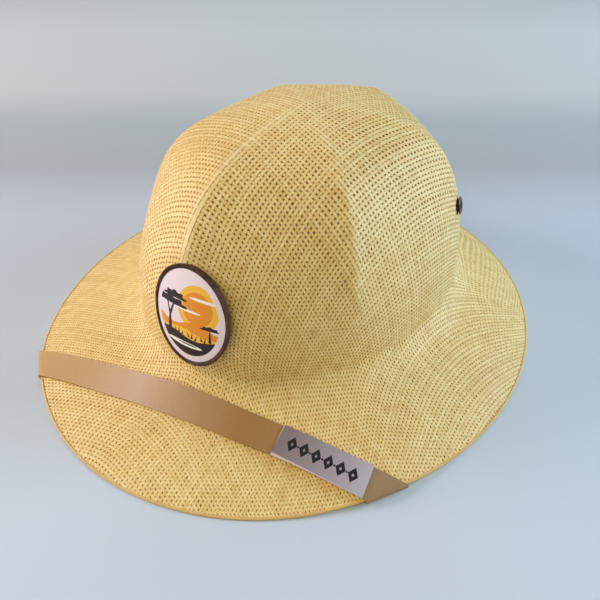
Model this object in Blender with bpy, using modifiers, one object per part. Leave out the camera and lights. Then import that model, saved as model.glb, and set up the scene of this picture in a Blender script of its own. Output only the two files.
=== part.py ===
"""Safari hat of pressed straw cloth: a six-ridged crown and a drooping brim in one shell,
an oval moulded badge on the front ridge, two vent eyelets, and a chin strap worn over the brim."""

import math
from typing import NamedTuple

import bmesh
import bpy
from mathutils import Matrix, Vector

# Driving sizes in metres. +Z is up, the front of the hat looks along -Y, the wearer's left is +X.
BRIM_LENGTH = 0.338
BRIM_WIDTH = 0.305
CROWN_LENGTH = 0.234
CROWN_WIDTH = 0.189
CROWN_SETBACK = 0.0135
HAT_HEIGHT = 0.140
FOOT_HEIGHT = 0.0285
WALL = 0.0014
RIM_FLAT_CUT = 0.0004

STRAP_WIDTH = 0.0166
STRAP_THICK = 0.0009
STRAP_GAP = 0.0004
RIM_LIFT = 0.0025
RIM_LIFT_SPREAD = math.radians(13)
STRAP_LEFT_CROSSING = math.radians(59.3)
STRAP_RIGHT_CROSSING = math.radians(-33.5)
STRAP_ANCHOR = math.radians(80)
STRAP_TAIL = 0.016
STRAP_UNDER_GAP = 0.0008
STRAP_ANCHOR_OUT = 0.15
STRAP_FOOT_ROOM = 1.3
STRAP_LEAVES = 0.45
STRAP_ARRIVES = 0.20
STRAP_OVERRUN = 0.1

LABEL_LENGTH = 0.050
LABEL_THICK = 0.0005
LABEL_OVERHANG = 0.0004
LABEL_PLACE = 0.841

BADGE_WIDTH = 0.050
BADGE_HEIGHT = 0.056
BADGE_THICK = 0.0028
BADGE_RIM = 0.0020
BADGE_FIELD_SINK = 0.0006
BADGE_BEND = 0.070
BADGE_BOW = 0.140
BADGE_ANGLE = math.radians(4)
BADGE_MIDDLE_HEIGHT = 0.0655
BADGE_TILT = math.radians(13.5)
BADGE_LEAN = math.radians(3)
BADGE_SEARCH = math.radians(60)

EYELET_ACROSS = 0.011
EYELET_HOLE = 0.0056
EYELET_FLANGE = 0.0007
EYELET_ANGLE = math.radians(118)
EYELET_HEIGHT = 0.078
EYELET_FIT = 0.0003
EYELET_SEAT_RISE = 0.0005

SEAT_GAP = 0.0003

# The crown's six pressed ridges, and how far the front one's foot leans to the wearer's left
RIDGES = 6
RIDGE_SHARPNESS = 40
FRONT_RIDGE_LEAN = math.radians(8)

# Steps of the shell: round the hat, down the crown and out along the brim
STEPS_ROUND = 72
STEPS_DOWN = 17
STEPS_OUT = 10
CROWDING = 1.4

# Halvings of every search for a place on the hat, and the step of every slope
HALVINGS = 40
SMALL = 1e-3
PLACE_SPAN = 0.6

# Steps of the smaller pieces
STRAP_STEPS = 30
UNDER_STEPS = 14
LABEL_STEPS = 6
BADGE_STEPS = 40
BADGE_RINGS = 5
EYELET_STEPS = 24
EYELET_CUT_STEPS = 20


class CrownSection(NamedTuple):
    """down: share of the way from the top to the foot; reach: share of the foot's half-length
    and half-width; height: share of the crown's height over its foot; ridge: how far the
    section goes from an oval (0) to a hexagon (1)"""

    down: float
    reach: float
    height: float
    ridge: float


CROWN = [
    CrownSection(0.00, 0.000, 1.000, 0.66),
    CrownSection(0.18, 0.305, 0.968, 0.66),
    CrownSection(0.36, 0.603, 0.886, 0.74),
    CrownSection(0.54, 0.822, 0.711, 0.74),
    CrownSection(0.70, 0.935, 0.468, 0.33),
    CrownSection(0.85, 0.985, 0.217, 0.09),
    CrownSection(1.00, 1.000, 0.000, 0.09),
]


class BrimSection(NamedTuple):
    """out: share of the way from the crown's foot to the edge; drop: share of the fall"""

    out: float
    drop: float


BRIM = [
    BrimSection(0.00, 0.00),
    BrimSection(0.08, 0.24),
    BrimSection(0.20, 0.40),
    BrimSection(0.40, 0.56),
    BrimSection(0.63, 0.72),
    BrimSection(0.83, 0.86),
    BrimSection(1.00, 1.00),
]


class StrapSection(NamedTuple):
    """along: share of the strap's run over the brim, from the wearer's right; bow: how far it
    lies out from a straight line; inner and outer: how far the edge nearer the crown and the
    edge nearer the rim stand off the brim. The last three are shares of the strap's width."""

    along: float
    bow: float
    inner: float
    outer: float


STRAP = [
    StrapSection(0.00, 0.060, 0.000, 0.000),
    StrapSection(0.12, 0.060, 0.072, 0.012),
    StrapSection(0.38, 0.084, 0.108, 0.012),
    StrapSection(0.60, 0.084, 0.048, 0.024),
    StrapSection(0.80, 0.012, 0.018, 0.060),
    StrapSection(0.92, 0.030, 0.012, 0.048),
    StrapSection(1.00, 0.000, 0.000, 0.000),
]


class TailStep(NamedTuple):
    """out: place under the brim, as a share from the crown's foot; up: share of the sewn tail's
    height up the crown's wall"""

    out: float
    up: float


TAIL = [TailStep(0.12, 0.15), TailStep(0.09, 0.40), TailStep(0.06, 0.70), TailStep(0.03, 1.00)]


class FlangeCorner(NamedTuple):
    """across: place between the eyelet's hole (0) and its edge (1); level: share of the flange's
    thickness over the cloth"""

    across: float
    level: float


FLANGE = [
    FlangeCorner(0.00, 0.70),
    FlangeCorner(0.16, 1.00),
    FlangeCorner(0.69, 1.00),
    FlangeCorner(1.00, 0.40),
    FlangeCorner(1.00, 0.00),
]
EYELET_BACK_ACROSS = 0.80


def eased(rows, column, at):
    """A smooth curve through one column of a table, with no overshoot between its rows."""
    x = [row[0] for row in rows]
    y = [getattr(row, column) for row in rows]
    step = [b - a for a, b in zip(x, x[1:])]
    rise = [(b - a) / h for a, b, h in zip(y, y[1:], step)]
    slope = [0.0] * len(x)
    for i in range(1, len(x) - 1):
        if rise[i - 1] * rise[i] > 0:
            left, right = 2 * step[i] + step[i - 1], step[i] + 2 * step[i - 1]
            slope[i] = (left + right) / (left / rise[i - 1] + right / rise[i])
    slope[0] = end_slope(step[0], step[1], rise[0], rise[1])
    slope[-1] = end_slope(step[-1], step[-2], rise[-1], rise[-2])
    i = min(max(sum(at >= value for value in x) - 1, 0), len(x) - 2)
    t = (at - x[i]) / step[i]
    return (
        y[i] * (1 + 2 * t) * (1 - t) ** 2
        + step[i] * slope[i] * t * (1 - t) ** 2
        + y[i + 1] * t * t * (3 - 2 * t)
        + step[i] * slope[i + 1] * t * t * (t - 1)
    )


def end_slope(near_step, far_step, near_rise, far_rise):
    """The slope that the curve leaves its first row with."""
    slope = ((2 * near_step + far_step) * near_rise - near_step * far_rise) / (near_step + far_step)
    if slope * near_rise <= 0:
        return 0.0
    if near_rise * far_rise <= 0 and abs(slope) > 3 * abs(near_rise):
        return 3 * near_rise
    return slope


def hexagon(angle):
    """Radius of a soft-cornered hexagon against its corner, with corners on the ridges."""
    half = math.pi / RIDGES
    sides = [math.cos(angle - half * (2 * k + 1)) for k in range(RIDGES)]
    total = sum(max(side, 0.0) ** RIDGE_SHARPNESS for side in sides)
    corner = 2 * math.cos(half) ** RIDGE_SHARPNESS
    return (total / corner) ** (-1 / RIDGE_SHARPNESS)


def crown_point(angle, down):
    """A point on the crown's outer face. The angle runs from the front to the wearer's left."""
    reach = eased(CROWN, "reach", down)
    ridged = 1 + eased(CROWN, "ridge", down) * (hexagon(angle) - 1)
    lean = FRONT_RIDGE_LEAN * max(math.cos(angle), 0.0) ** 4 * down**2
    height = FOOT_HEIGHT + (HAT_HEIGHT - FOOT_HEIGHT) * eased(CROWN, "height", down)
    return Vector((
        reach * ridged * CROWN_WIDTH / 2 * math.sin(angle + lean),
        CROWN_SETBACK - reach * ridged * CROWN_LENGTH / 2 * math.cos(angle + lean),
        height,
    ))


def rim_height(angle):
    """Height of the brim's upper edge: it rests flat, but the strap lifts it where it passes under."""
    lift = 0.0
    for crossing in (STRAP_LEFT_CROSSING, STRAP_RIGHT_CROSSING):
        away = math.remainder(angle - crossing, 2 * math.pi)
        lift += RIM_LIFT * math.exp(-((away / RIM_LIFT_SPREAD) ** 2))
    return WALL - RIM_FLAT_CUT + lift


def brim_point(angle, out):
    """A point on the brim's upper face."""
    foot = crown_point(angle, 1.0)
    edge = Vector((BRIM_WIDTH / 2 * math.sin(angle), -BRIM_LENGTH / 2 * math.cos(angle), rim_height(angle)))
    drop = eased(BRIM, "drop", out)
    plan = foot.lerp(edge, out)
    return Vector((plan.x, plan.y, foot.z + (edge.z - foot.z) * drop))


def across(a, b):
    """The z part of a cross product of two plan directions."""
    return a.x * b.y - a.y * b.x


def brim_place(x, y):
    """(angle, out) of the brim's point over a place in plan."""
    low = math.atan2(x, -(y - CROWN_SETBACK)) - PLACE_SPAN
    high = low + 2 * PLACE_SPAN
    for _ in range(HALVINGS):
        middle = (low + high) / 2
        foot, edge = brim_point(middle, 0.0), brim_point(middle, 1.0)
        if across(edge - foot, Vector((x, y, 0)) - foot) > 0:
            low = middle
        else:
            high = middle
    foot, edge = brim_point(middle, 0.0), brim_point(middle, 1.0)
    ray = (edge - foot).to_2d()
    return middle, (Vector((x, y)) - foot.to_2d()).dot(ray) / ray.length_squared


def brim_normal(angle, out):
    """The upper face's outward normal."""
    out = min(max(out, SMALL), 1 - SMALL)
    along = brim_point(angle, out + SMALL) - brim_point(angle, out - SMALL)
    round_ = brim_point(angle + SMALL, out) - brim_point(angle - SMALL, out)
    normal = along.cross(round_).normalized()
    return normal if normal.z > 0 else -normal


def crown_normal(angle, down):
    """The crown's outward normal."""
    below = crown_point(angle, min(down + SMALL, 1)) - crown_point(angle, down - SMALL)
    round_ = crown_point(angle + SMALL, down) - crown_point(angle - SMALL, down)
    normal = below.cross(round_).normalized()
    outward = Vector((math.sin(angle), -math.cos(angle), 0))
    return normal if normal.dot(outward) > 0 else -normal


def crown_down(angle, height):
    """How far down the crown a height lies, at one angle."""
    low, high = 0.0, 1.0
    for _ in range(HALVINGS):
        middle = (low + high) / 2
        if crown_point(angle, middle).z > height:
            low = middle
        else:
            high = middle
    return middle


# Helpers that make objects
def fresh_scene():
    for obj in list(bpy.data.objects):
        bpy.data.objects.remove(obj, do_unlink=True)
    hat = bpy.data.collections.new("safari_hat")
    cutters = bpy.data.collections.new("cutters")
    for collection in (hat, cutters):
        bpy.context.scene.collection.children.link(collection)
    return hat, cutters


def material(name, colour, roughness, metallic=0.0):
    made = bpy.data.materials.new(name)
    made.use_nodes = True
    shader = made.node_tree.nodes["Principled BSDF"]
    shader.inputs["Base Color"].default_value = (*colour, 1)
    shader.inputs["Roughness"].default_value = roughness
    shader.inputs["Metallic"].default_value = metallic
    return made


def add_object(name, mesh_maker, collection, finish=None):
    """An object whose mesh a bmesh function fills."""
    mesh = bpy.data.meshes.new(name)
    work = bmesh.new()
    mesh_maker(work)
    work.to_mesh(mesh)
    work.free()
    if finish:
        mesh.materials.append(finish)
    obj = bpy.data.objects.new(name, mesh)
    collection.objects.link(obj)
    return obj


def cutter(name, mesh_maker, cutters):
    obj = add_object(name, mesh_maker, cutters)
    obj.hide_render = True
    obj.display_type = "WIRE"
    return obj


def cut(obj, tool):
    boolean = obj.modifiers.new(tool.name, "BOOLEAN")
    boolean.operation = "DIFFERENCE"
    boolean.object = tool


def thicken(obj, thickness, offset):
    wall = obj.modifiers.new("wall", "SOLIDIFY")
    wall.thickness = thickness
    wall.offset = offset
    wall.use_even_offset = True
    return wall


def smooth(obj, angle):
    obj.data.shade_smooth()
    obj.data.set_sharp_from_angle(angle=angle)


# The shell
def hat_surface(work):
    """The hat's outer face as one open surface, lofted from the crown's top to the brim's edge."""
    angles = [2 * math.pi * k / STEPS_ROUND for k in range(STEPS_ROUND)]
    rings = [[crown_point(a, i / STEPS_DOWN) for a in angles] for i in range(1, STEPS_DOWN + 1)]
    rings += [[brim_point(a, (i / STEPS_OUT) ** CROWDING) for a in angles] for i in range(1, STEPS_OUT + 1)]
    top = work.verts.new(crown_point(0, 0))
    made = [[work.verts.new(point) for point in ring] for ring in rings]
    for k in range(STEPS_ROUND):
        work.faces.new((top, made[0][k], made[0][k - 1]))
    for upper, lower in zip(made, made[1:]):
        for k in range(STEPS_ROUND):
            work.faces.new((upper[k - 1], upper[k], lower[k], lower[k - 1]))
    bmesh.ops.recalc_face_normals(work, faces=work.faces)


def turned_to(normal, place):
    """A placing matrix whose local Z is the normal and whose local Y points uphill."""
    uphill = Vector((0, 0, 1)) - normal * normal.z
    uphill.normalize()
    side = uphill.cross(normal)
    return Matrix.Translation(place) @ Matrix((side, uphill, normal)).transposed().to_4x4()


def eyelet_frame(side):
    down = crown_down(side * EYELET_ANGLE, EYELET_HEIGHT)
    return turned_to(
        crown_normal(side * EYELET_ANGLE, down), crown_point(side * EYELET_ANGLE, down)
    )


def make_shell(hat, cutters, finish):
    shell = add_object("hat_shell", hat_surface, hat, finish)
    thicken(shell, WALL, -1)

    def floor_block(work):
        reach = BRIM_LENGTH + BRIM_WIDTH
        placing = Matrix.Translation((0, 0, -reach / 2)) @ Matrix.Scale(reach, 4)
        bmesh.ops.create_cube(work, size=1, matrix=placing)

    cut(shell, cutter("resting_plane", floor_block, cutters))
    for side, word in ((1, "left"), (-1, "right")):

        def hole(work, side=side):
            bmesh.ops.create_cone(
                work, cap_ends=True, segments=EYELET_CUT_STEPS, radius1=barrel_radius() + EYELET_FIT,
                radius2=barrel_radius() + EYELET_FIT, depth=10 * WALL, matrix=eyelet_frame(side),
            )

        cut(shell, cutter(f"eyelet_hole_{word}", hole, cutters))
    smooth(shell, math.radians(40))
    return shell


def barrel_radius():
    """Outer radius of an eyelet's barrel, where it passes through the cloth."""
    return (EYELET_HOLE + EYELET_ACROSS) / 4


def make_eyelet(name, side, hat, finish):
    """A turned metal ring: a rounded flange outside, a barrel through the wall, a rolled flange inside."""
    hole, barrel, rim = EYELET_HOLE / 2, barrel_radius(), EYELET_ACROSS / 2
    front = EYELET_FIT + EYELET_SEAT_RISE
    back = -WALL - EYELET_FIT - EYELET_SEAT_RISE
    back_rim = hole + (rim - hole) * EYELET_BACK_ACROSS
    profile = [(hole, back - EYELET_FLANGE)]
    profile += [
        (hole + (rim - hole) * corner.across, front + EYELET_FLANGE * corner.level) for corner in FLANGE
    ]
    profile += [(barrel, front), (barrel, back), (back_rim, back), (back_rim, back - EYELET_FLANGE)]

    def outline(work):
        corners = [work.verts.new((radius, 0, height)) for radius, height in profile]
        for a, b in zip(corners, corners[1:] + corners[:1]):
            work.edges.new((a, b))

    eyelet = add_object(name, outline, hat, finish)
    eyelet.matrix_world = eyelet_frame(side)
    spin = eyelet.modifiers.new("turned", "SCREW")
    spin.steps = spin.render_steps = EYELET_STEPS
    spin.use_merge_vertices = True
    spin.merge_threshold = 0.00001
    return eyelet


# The strap
def rim_crossings():
    """The strap's middle line over the brim, from its crossing on the wearer's right to the left one."""
    ends = [brim_point(angle, 1.0).to_2d() for angle in (STRAP_RIGHT_CROSSING, STRAP_LEFT_CROSSING)]
    along = (ends[1] - ends[0]).normalized()
    return ends, along, Vector((-along.y, along.x))


def strap_place(share, shift):
    """A place in plan on the strap's run over the brim, shifted towards the crown."""
    ends, _, inward = rim_crossings()
    return ends[0].lerp(ends[1], share) + inward * (shift - STRAP_WIDTH * eased(STRAP, "bow", share))


def rim_share(shift, inside, outside):
    """The share of the run at which a line along the strap leaves the brim, between two shares."""
    for _ in range(HALVINGS):
        middle = (inside + outside) / 2
        if brim_place(*strap_place(middle, shift))[1] < 1:
            inside = middle
        else:
            outside = middle
    return middle


def rim_outward(angle):
    """Plan direction square to the brim's edge."""
    tangent = (brim_point(angle + SMALL, 1.0) - brim_point(angle - SMALL, 1.0)).to_2d().normalized()
    return Vector((tangent.y, -tangent.x))


def upper_place(x, y, stand_off):
    """A point over the brim's upper face."""
    angle, out = brim_place(x, y)
    point = brim_point(angle, min(max(out, 0.0), 1.0))
    return point + brim_normal(angle, out) * stand_off


def under_place(x, y, stand_off):
    """A point under the brim's lower face."""
    angle, out = brim_place(x, y)
    return brim_point(angle, out) - brim_normal(angle, out) * (WALL + stand_off)


def reflected(direction, rim_angle):
    """Plan direction of a ribbon after it is folded under along the rim."""
    outward = rim_outward(rim_angle)
    return direction - 2 * direction.dot(outward) * outward


def fold_points(rim_angle):
    """The strap's inner face round the brim's edge, from above to below."""
    upper = brim_point(rim_angle, 1.0)
    normal = brim_normal(rim_angle, 1.0)
    outward = rim_outward(rim_angle).to_3d()
    lower = upper - normal * WALL
    return [
        upper + normal * STRAP_GAP,
        upper + (normal + outward).normalized() * STRAP_GAP,
        upper.lerp(lower, 0.5) + outward * (STRAP_GAP + WALL / 4),
        lower + (outward - normal).normalized() * STRAP_GAP,
        lower - normal * STRAP_GAP,
    ]


def bezier(corners, share):
    """A point on a cubic curve, in plan."""
    while len(corners) > 1:
        corners = [a.lerp(b, share) for a, b in zip(corners, corners[1:])]
    return corners[0]


def inside_run(angle):
    """The strap's face from under the brim, round the crown's foot and up the wall, at one angle."""
    stand_off = WALL + STRAP_UNDER_GAP
    under = [brim_point(angle, step.out) - brim_normal(angle, step.out) * stand_off for step in TAIL]
    bend = (brim_normal(angle, 0.0) + crown_normal(angle, 1.0)).normalized()
    foot = crown_point(angle, 1.0) - bend * STRAP_FOOT_ROOM * stand_off
    wall = []
    for step in TAIL:
        down = crown_down(angle, FOOT_HEIGHT + STRAP_TAIL * step.up)
        wall.append(crown_point(angle, down) - crown_normal(angle, down) * stand_off)
    return under + [foot] + wall


def under_edges(rim_angle, leaving, anchor, edge_starts):
    """Both edges of the strap from the rim, under the brim and up inside the crown to the sewn end.
    edge_starts holds the two edges' places on the rim, which say which side each edge keeps to."""
    half = STRAP_WIDTH / 2
    start = brim_point(rim_angle, 1.0).to_2d()
    outward = crown_normal(anchor, 1.0).to_2d().normalized()
    end = brim_point(anchor, STRAP_ANCHOR_OUT).to_2d()
    reach = (end - start).length
    corners = [
        start,
        start + reflected(leaving, rim_angle) * reach * STRAP_LEAVES,
        end + outward * reach * STRAP_ARRIVES,
        end,
    ]
    edges = ([], [])
    for i in range(1, UNDER_STEPS + 1):
        share = i / UNDER_STEPS
        middle = bezier(corners, share)
        ahead = middle - bezier(corners, share - SMALL)
        square = Vector((-ahead.y, ahead.x)).normalized()
        if square.dot(edge_starts[0] - edge_starts[1]) < 0:
            square = -square
        for edge, sign in zip(edges, (1, -1)):
            place = middle + square * half * sign
            edge.append(under_place(place.x, place.y, STRAP_UNDER_GAP))
    turn = SMALL * STRAP_WIDTH / (crown_point(anchor + SMALL, 1.0) - crown_point(anchor - SMALL, 1.0)).length
    forward = crown_point(anchor + turn, 1.0) - crown_point(anchor - turn, 1.0)
    if forward.to_2d().dot(square) < 0:
        turn = -turn
    for edge, sign in zip(edges, (1, -1)):
        edge += inside_run(anchor + turn * sign)
    return edges


def strap_edges():
    """The strap's inner face along its edge nearer the crown and along the one nearer the rim."""
    along = rim_crossings()[1]
    overs, folds = [], []
    for shift, column in ((STRAP_WIDTH / 2, "inner"), (-STRAP_WIDTH / 2, "outer")):
        first, last = rim_share(shift, 0.5, -STRAP_OVERRUN), rim_share(shift, 0.5, 1 + STRAP_OVERRUN)
        over = []
        for i in range(STRAP_STEPS + 1):
            share = first + (last - first) * i / STRAP_STEPS
            rise = STRAP_GAP + STRAP_WIDTH * eased(STRAP, column, min(max(share, 0.0), 1.0))
            over.append(upper_place(*strap_place(share, shift), rise))
        overs.append(over[1:-1])
        folds.append([brim_place(*strap_place(share, shift))[0] for share in (first, last)])
    starts = [[brim_point(fold[k], 1.0).to_2d() for fold in folds] for k in (0, 1)]
    right = under_edges(STRAP_RIGHT_CROSSING, -along, -STRAP_ANCHOR, starts[0])
    left = under_edges(STRAP_LEFT_CROSSING, along, STRAP_ANCHOR, starts[1])
    return [
        right[k][::-1] + fold_points(folds[k][0])[::-1] + overs[k] + fold_points(folds[k][1]) + left[k]
        for k in (0, 1)
    ]


def ribbon(work, inner_edge, outer_edge):
    """An open strip between two edges with as many points each."""
    sides = [[work.verts.new(point) for point in edge] for edge in (inner_edge, outer_edge)]
    for i in range(len(inner_edge) - 1):
        work.faces.new((sides[0][i], sides[1][i], sides[1][i + 1], sides[0][i + 1]))


def make_strap(hat, finish):
    inner, outer = strap_edges()
    strap = add_object("chin_strap", lambda work: ribbon(work, inner, outer), hat, finish)
    thicken(strap, STRAP_THICK, 1)
    smooth(strap, math.radians(40))
    return strap


def make_label(hat, finish):
    """A thin satin tab sewn on the strap's face."""
    ends = rim_crossings()[0]
    half_span = LABEL_LENGTH / 2 / (ends[1] - ends[0]).length
    rows = []
    for side, column in ((1, "inner"), (-1, "outer")):
        row = []
        for i in range(LABEL_STEPS + 1):
            share = LABEL_PLACE + half_span * (2 * i / LABEL_STEPS - 1)
            rise = STRAP_GAP + STRAP_WIDTH * eased(STRAP, column, share) + STRAP_THICK + SEAT_GAP
            place = strap_place(share, side * (STRAP_WIDTH / 2 + LABEL_OVERHANG))
            row.append(upper_place(*place, rise))
        rows.append(row)
    label = add_object("strap_label", lambda work: ribbon(work, *rows), hat, finish)
    thicken(label, LABEL_THICK, 1)
    return label


# The badge
def badge_bent(x, y, level):
    """A point of the badge in its own frame, bent back across and down like the crown behind it."""
    turn, nod = x / BADGE_BEND, y / BADGE_BOW
    forward = (BADGE_BEND + level) * math.cos(turn) - BADGE_BEND
    return Vector((
        (BADGE_BEND + level) * math.sin(turn),
        (BADGE_BOW + forward) * math.sin(nod),
        (BADGE_BOW + forward) * math.cos(nod) - BADGE_BOW,
    ))


def clear_of_hat(point):
    """How far a point in front of the hat stands off its outer face."""
    if point.z > FOOT_HEIGHT:
        low, high = -BADGE_SEARCH, BADGE_SEARCH
        for _ in range(HALVINGS):
            angle = (low + high) / 2
            down = crown_down(angle, point.z)
            face = crown_point(angle, down)
            if face.x < point.x:
                low = angle
            else:
                high = angle
        return (face.y - point.y) * -crown_normal(angle, down).y
    angle, out = brim_place(point.x, point.y)
    return (point.z - brim_point(angle, out).z) * brim_normal(angle, out).z


def badge_frame():
    """The badge's place on the front ridge: local Z faces out, local Y up, its back just clear of the hat."""
    down = crown_down(BADGE_ANGLE, BADGE_MIDDLE_HEIGHT)
    flat = Vector((math.sin(BADGE_ANGLE), -math.cos(BADGE_ANGLE), 0))
    facing = flat * math.cos(BADGE_TILT) + Vector((0, 0, math.sin(BADGE_TILT)))
    seat = turned_to(facing, crown_point(BADGE_ANGLE, down)) @ Matrix.Rotation(BADGE_LEAN, 4, "Z")
    back = [
        seat @ badge_bent(share * BADGE_WIDTH / 2 * math.cos(a), share * BADGE_HEIGHT / 2 * math.sin(a), 0)
        for share in (0, 0.25, 0.5, 0.75, 1)
        for a in (2 * math.pi * k / BADGE_STEPS for k in range(BADGE_STEPS))
    ]
    closest = min(clear_of_hat(point) for point in back)
    return Matrix.Translation(facing * (SEAT_GAP - closest)) @ seat


def badge_plate(work, half_width, half_height, low, high):
    """An oval plate between two levels."""
    angles = [2 * math.pi * k / BADGE_STEPS for k in range(BADGE_STEPS)]
    faces = []
    for level in (low, high):
        middle = work.verts.new(badge_bent(0, 0, level))
        rings = []
        for ring in range(1, BADGE_RINGS + 1):
            share = ring / BADGE_RINGS
            rings.append([
                work.verts.new(badge_bent(
                    half_width * share * math.cos(a), half_height * share * math.sin(a), level
                ))
                for a in angles
            ])
        faces.append(rings)
        for k in range(BADGE_STEPS):
            work.faces.new((middle, rings[0][k - 1], rings[0][k]))
        for a, b in zip(rings, rings[1:]):
            for k in range(BADGE_STEPS):
                work.faces.new((a[k - 1], b[k - 1], b[k], a[k]))
    for k in range(BADGE_STEPS):
        work.faces.new((faces[0][-1][k - 1], faces[0][-1][k], faces[1][-1][k], faces[1][-1][k - 1]))
    bmesh.ops.recalc_face_normals(work, faces=work.faces)


def make_badge(hat, cutters, rubber, field):
    """The moulded oval: a brown tray with a raised rim, and the pale field inside it."""
    half_width, half_height = BADGE_WIDTH / 2, BADGE_HEIGHT / 2
    floor = BADGE_THICK - 2 * BADGE_FIELD_SINK - SEAT_GAP
    tray = add_object(
        "badge_tray", lambda work: badge_plate(work, half_width, half_height, 0, BADGE_THICK), hat, rubber
    )
    tray.matrix_world = placed = badge_frame()
    well = cutter(
        "badge_well",
        lambda work: badge_plate(
            work, half_width - BADGE_RIM, half_height - BADGE_RIM, floor, 2 * BADGE_THICK
        ),
        cutters,
    )
    well.matrix_world = placed
    cut(tray, well)
    inset = BADGE_RIM + SEAT_GAP
    plate = add_object(
        "badge_field",
        lambda work: badge_plate(
            work, half_width - inset, half_height - inset, floor + SEAT_GAP, BADGE_THICK - BADGE_FIELD_SINK
        ),
        hat,
        field,
    )
    plate.matrix_world = placed
    for obj in (tray, plate):
        smooth(obj, math.radians(40))


def main():
    hat, cutters = fresh_scene()
    straw = material("straw_cloth", (0.86, 0.68, 0.33), 0.75)
    tape = material("strap_tape", (0.45, 0.28, 0.13), 0.6)
    satin = material("label_satin", (0.55, 0.50, 0.55), 0.45)
    rubber = material("badge_rubber", (0.07, 0.03, 0.02), 0.5)
    field = material("badge_field", (0.66, 0.58, 0.62), 0.5)
    metal = material("eyelet_metal", (0.10, 0.07, 0.06), 0.4, 0.9)
    make_shell(hat, cutters, straw)
    make_strap(hat, tape)
    make_label(hat, satin)
    make_badge(hat, cutters, rubber, field)
    for side, word in ((1, "left"), (-1, "right")):
        make_eyelet(f"vent_eyelet_{word}", side, hat, metal)


main()
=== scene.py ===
# %% [markdown]
# Safari hat, finished on its imported frame.
#
# The hat is one shell of straw cloth pressed over a block, so nearly all of what the eye reads is
# the weave: two families of flat yarns that start square on the crown's top and shear into narrow
# diamonds on the brim. A painted weave would look printed, so each yarn is real geometry here.
# The first cell opens the frame that the solids are packed in, and lists their names.

import math

import bmesh
import bpy
import numpy as np
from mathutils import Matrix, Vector
from mathutils.geometry import delaunay_2d_cdt
from mathutils.kdtree import KDTree


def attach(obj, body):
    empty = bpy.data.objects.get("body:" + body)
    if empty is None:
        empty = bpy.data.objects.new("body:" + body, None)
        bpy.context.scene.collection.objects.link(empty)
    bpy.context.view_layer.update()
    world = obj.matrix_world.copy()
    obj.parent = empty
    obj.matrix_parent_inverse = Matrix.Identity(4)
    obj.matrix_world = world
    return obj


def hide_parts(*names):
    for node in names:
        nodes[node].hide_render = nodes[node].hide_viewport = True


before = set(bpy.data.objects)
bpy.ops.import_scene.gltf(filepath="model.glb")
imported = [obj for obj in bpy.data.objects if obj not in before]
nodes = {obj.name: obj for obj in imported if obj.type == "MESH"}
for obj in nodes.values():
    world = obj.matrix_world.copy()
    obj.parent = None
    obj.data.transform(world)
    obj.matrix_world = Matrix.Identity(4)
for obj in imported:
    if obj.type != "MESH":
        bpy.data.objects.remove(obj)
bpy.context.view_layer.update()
print("frame nodes:", ", ".join(sorted(nodes)))

# %% [markdown]
# The cloth has to lie where the solid shell lies, so it starts from the shell's own sizes. They
# could be measured off the solid's triangles, but the few numbers that it was drawn from are more
# exact and easier to read. Lengths are in metres, as Blender counts them.

# %% Sizes of the shell
BRIM_LENGTH, BRIM_WIDTH = 0.338, 0.305
CROWN_LENGTH, CROWN_WIDTH, CROWN_SETBACK = 0.234, 0.189, 0.0135
HAT_HEIGHT, FOOT_HEIGHT, WALL, RIM_FLAT_CUT = 0.140, 0.0285, 0.0014, 0.0004
# the rim is lifted a little where the strap passes under it
RIM_LIFT, RIM_LIFT_SPREAD = 0.0025, math.radians(13)
STRAP_CROSSINGS = (math.radians(59.3), math.radians(-33.5))
print(f"brim {BRIM_LENGTH * 1000:.0f} by {BRIM_WIDTH * 1000:.0f} mm, hat {HAT_HEIGHT * 1000:.0f} mm high")

# %% [markdown]
# A profile is easily set by a few points with a smooth curve through them. A plain spline swings
# past its points and would ripple the cloth. This curve takes a gentle slope at each point, and
# a level one where the points turn back, so it never overshoots.

# %% A smooth curve through a table


def eased(table, column, at):
    """The value at a place, on a smooth curve through one column of a table."""
    x, y = table[:, 0], table[:, column]
    step, rise = np.diff(x), np.diff(y) / np.diff(x)
    slope = np.zeros(len(x))
    for i in range(1, len(x) - 1):
        if rise[i - 1] * rise[i] > 0:
            left, right = 2 * step[i] + step[i - 1], step[i] + 2 * step[i - 1]
            slope[i] = (left + right) / (left / rise[i - 1] + right / rise[i])
    for end, near, far in ((0, 0, 1), (-1, -1, -2)):
        wide = 2 * step[near] + step[far]
        slope[end] = (wide * rise[near] - step[near] * rise[far]) / (step[near] + step[far])
        if slope[end] * rise[near] <= 0:
            slope[end] = 0
        elif rise[near] * rise[far] <= 0 and abs(slope[end]) > 3 * abs(rise[near]):
            slope[end] = 3 * rise[near]
    at = np.asarray(at, float)
    i = np.clip(np.searchsorted(x, at, side="right") - 1, 0, len(x) - 2)
    t = (at - x[i]) / step[i]
    return (
        y[i] * (1 + 2 * t) * (1 - t) ** 2
        + step[i] * slope[i] * t * (1 - t) ** 2
        + y[i + 1] * t * t * (3 - 2 * t)
        + step[i] * slope[i + 1] * t * t * (t - 1)
    )


straight = np.array([(0.0, 0.0), (1.0, 1.0), (2.0, 2.0)])
print("half way to a straight table's second row:", eased(straight, 1, 0.5))

# %% [markdown]
# The crown is pressed with six ridges, sixty degrees apart. Each level of it is an oval that the
# ridges pull towards a hexagon with rounded corners. One formula gives any point of it: the angle
# round from the front, and how far down from the top. The front ridge leans a little to one side
# at its foot, and the ridge beside it is pressed harder than the others.

# %% Crown
RIDGES, RIDGE_SHARPNESS, FRONT_RIDGE_LEAN = 6, 40, math.radians(8)
# the harder ridge: where it stands, how far round it reaches, how sharp and how far out it is
HARD_RIDGE, HARD_RIDGE_SPREAD = math.radians(60), 0.36
HARD_RIDGE_SHARPNESS, HARD_RIDGE_REACH = 120, 0.16
HARD_RIDGE_DOWN, HARD_RIDGE_DOWN_SPREAD = 0.72, 0.1
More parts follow.
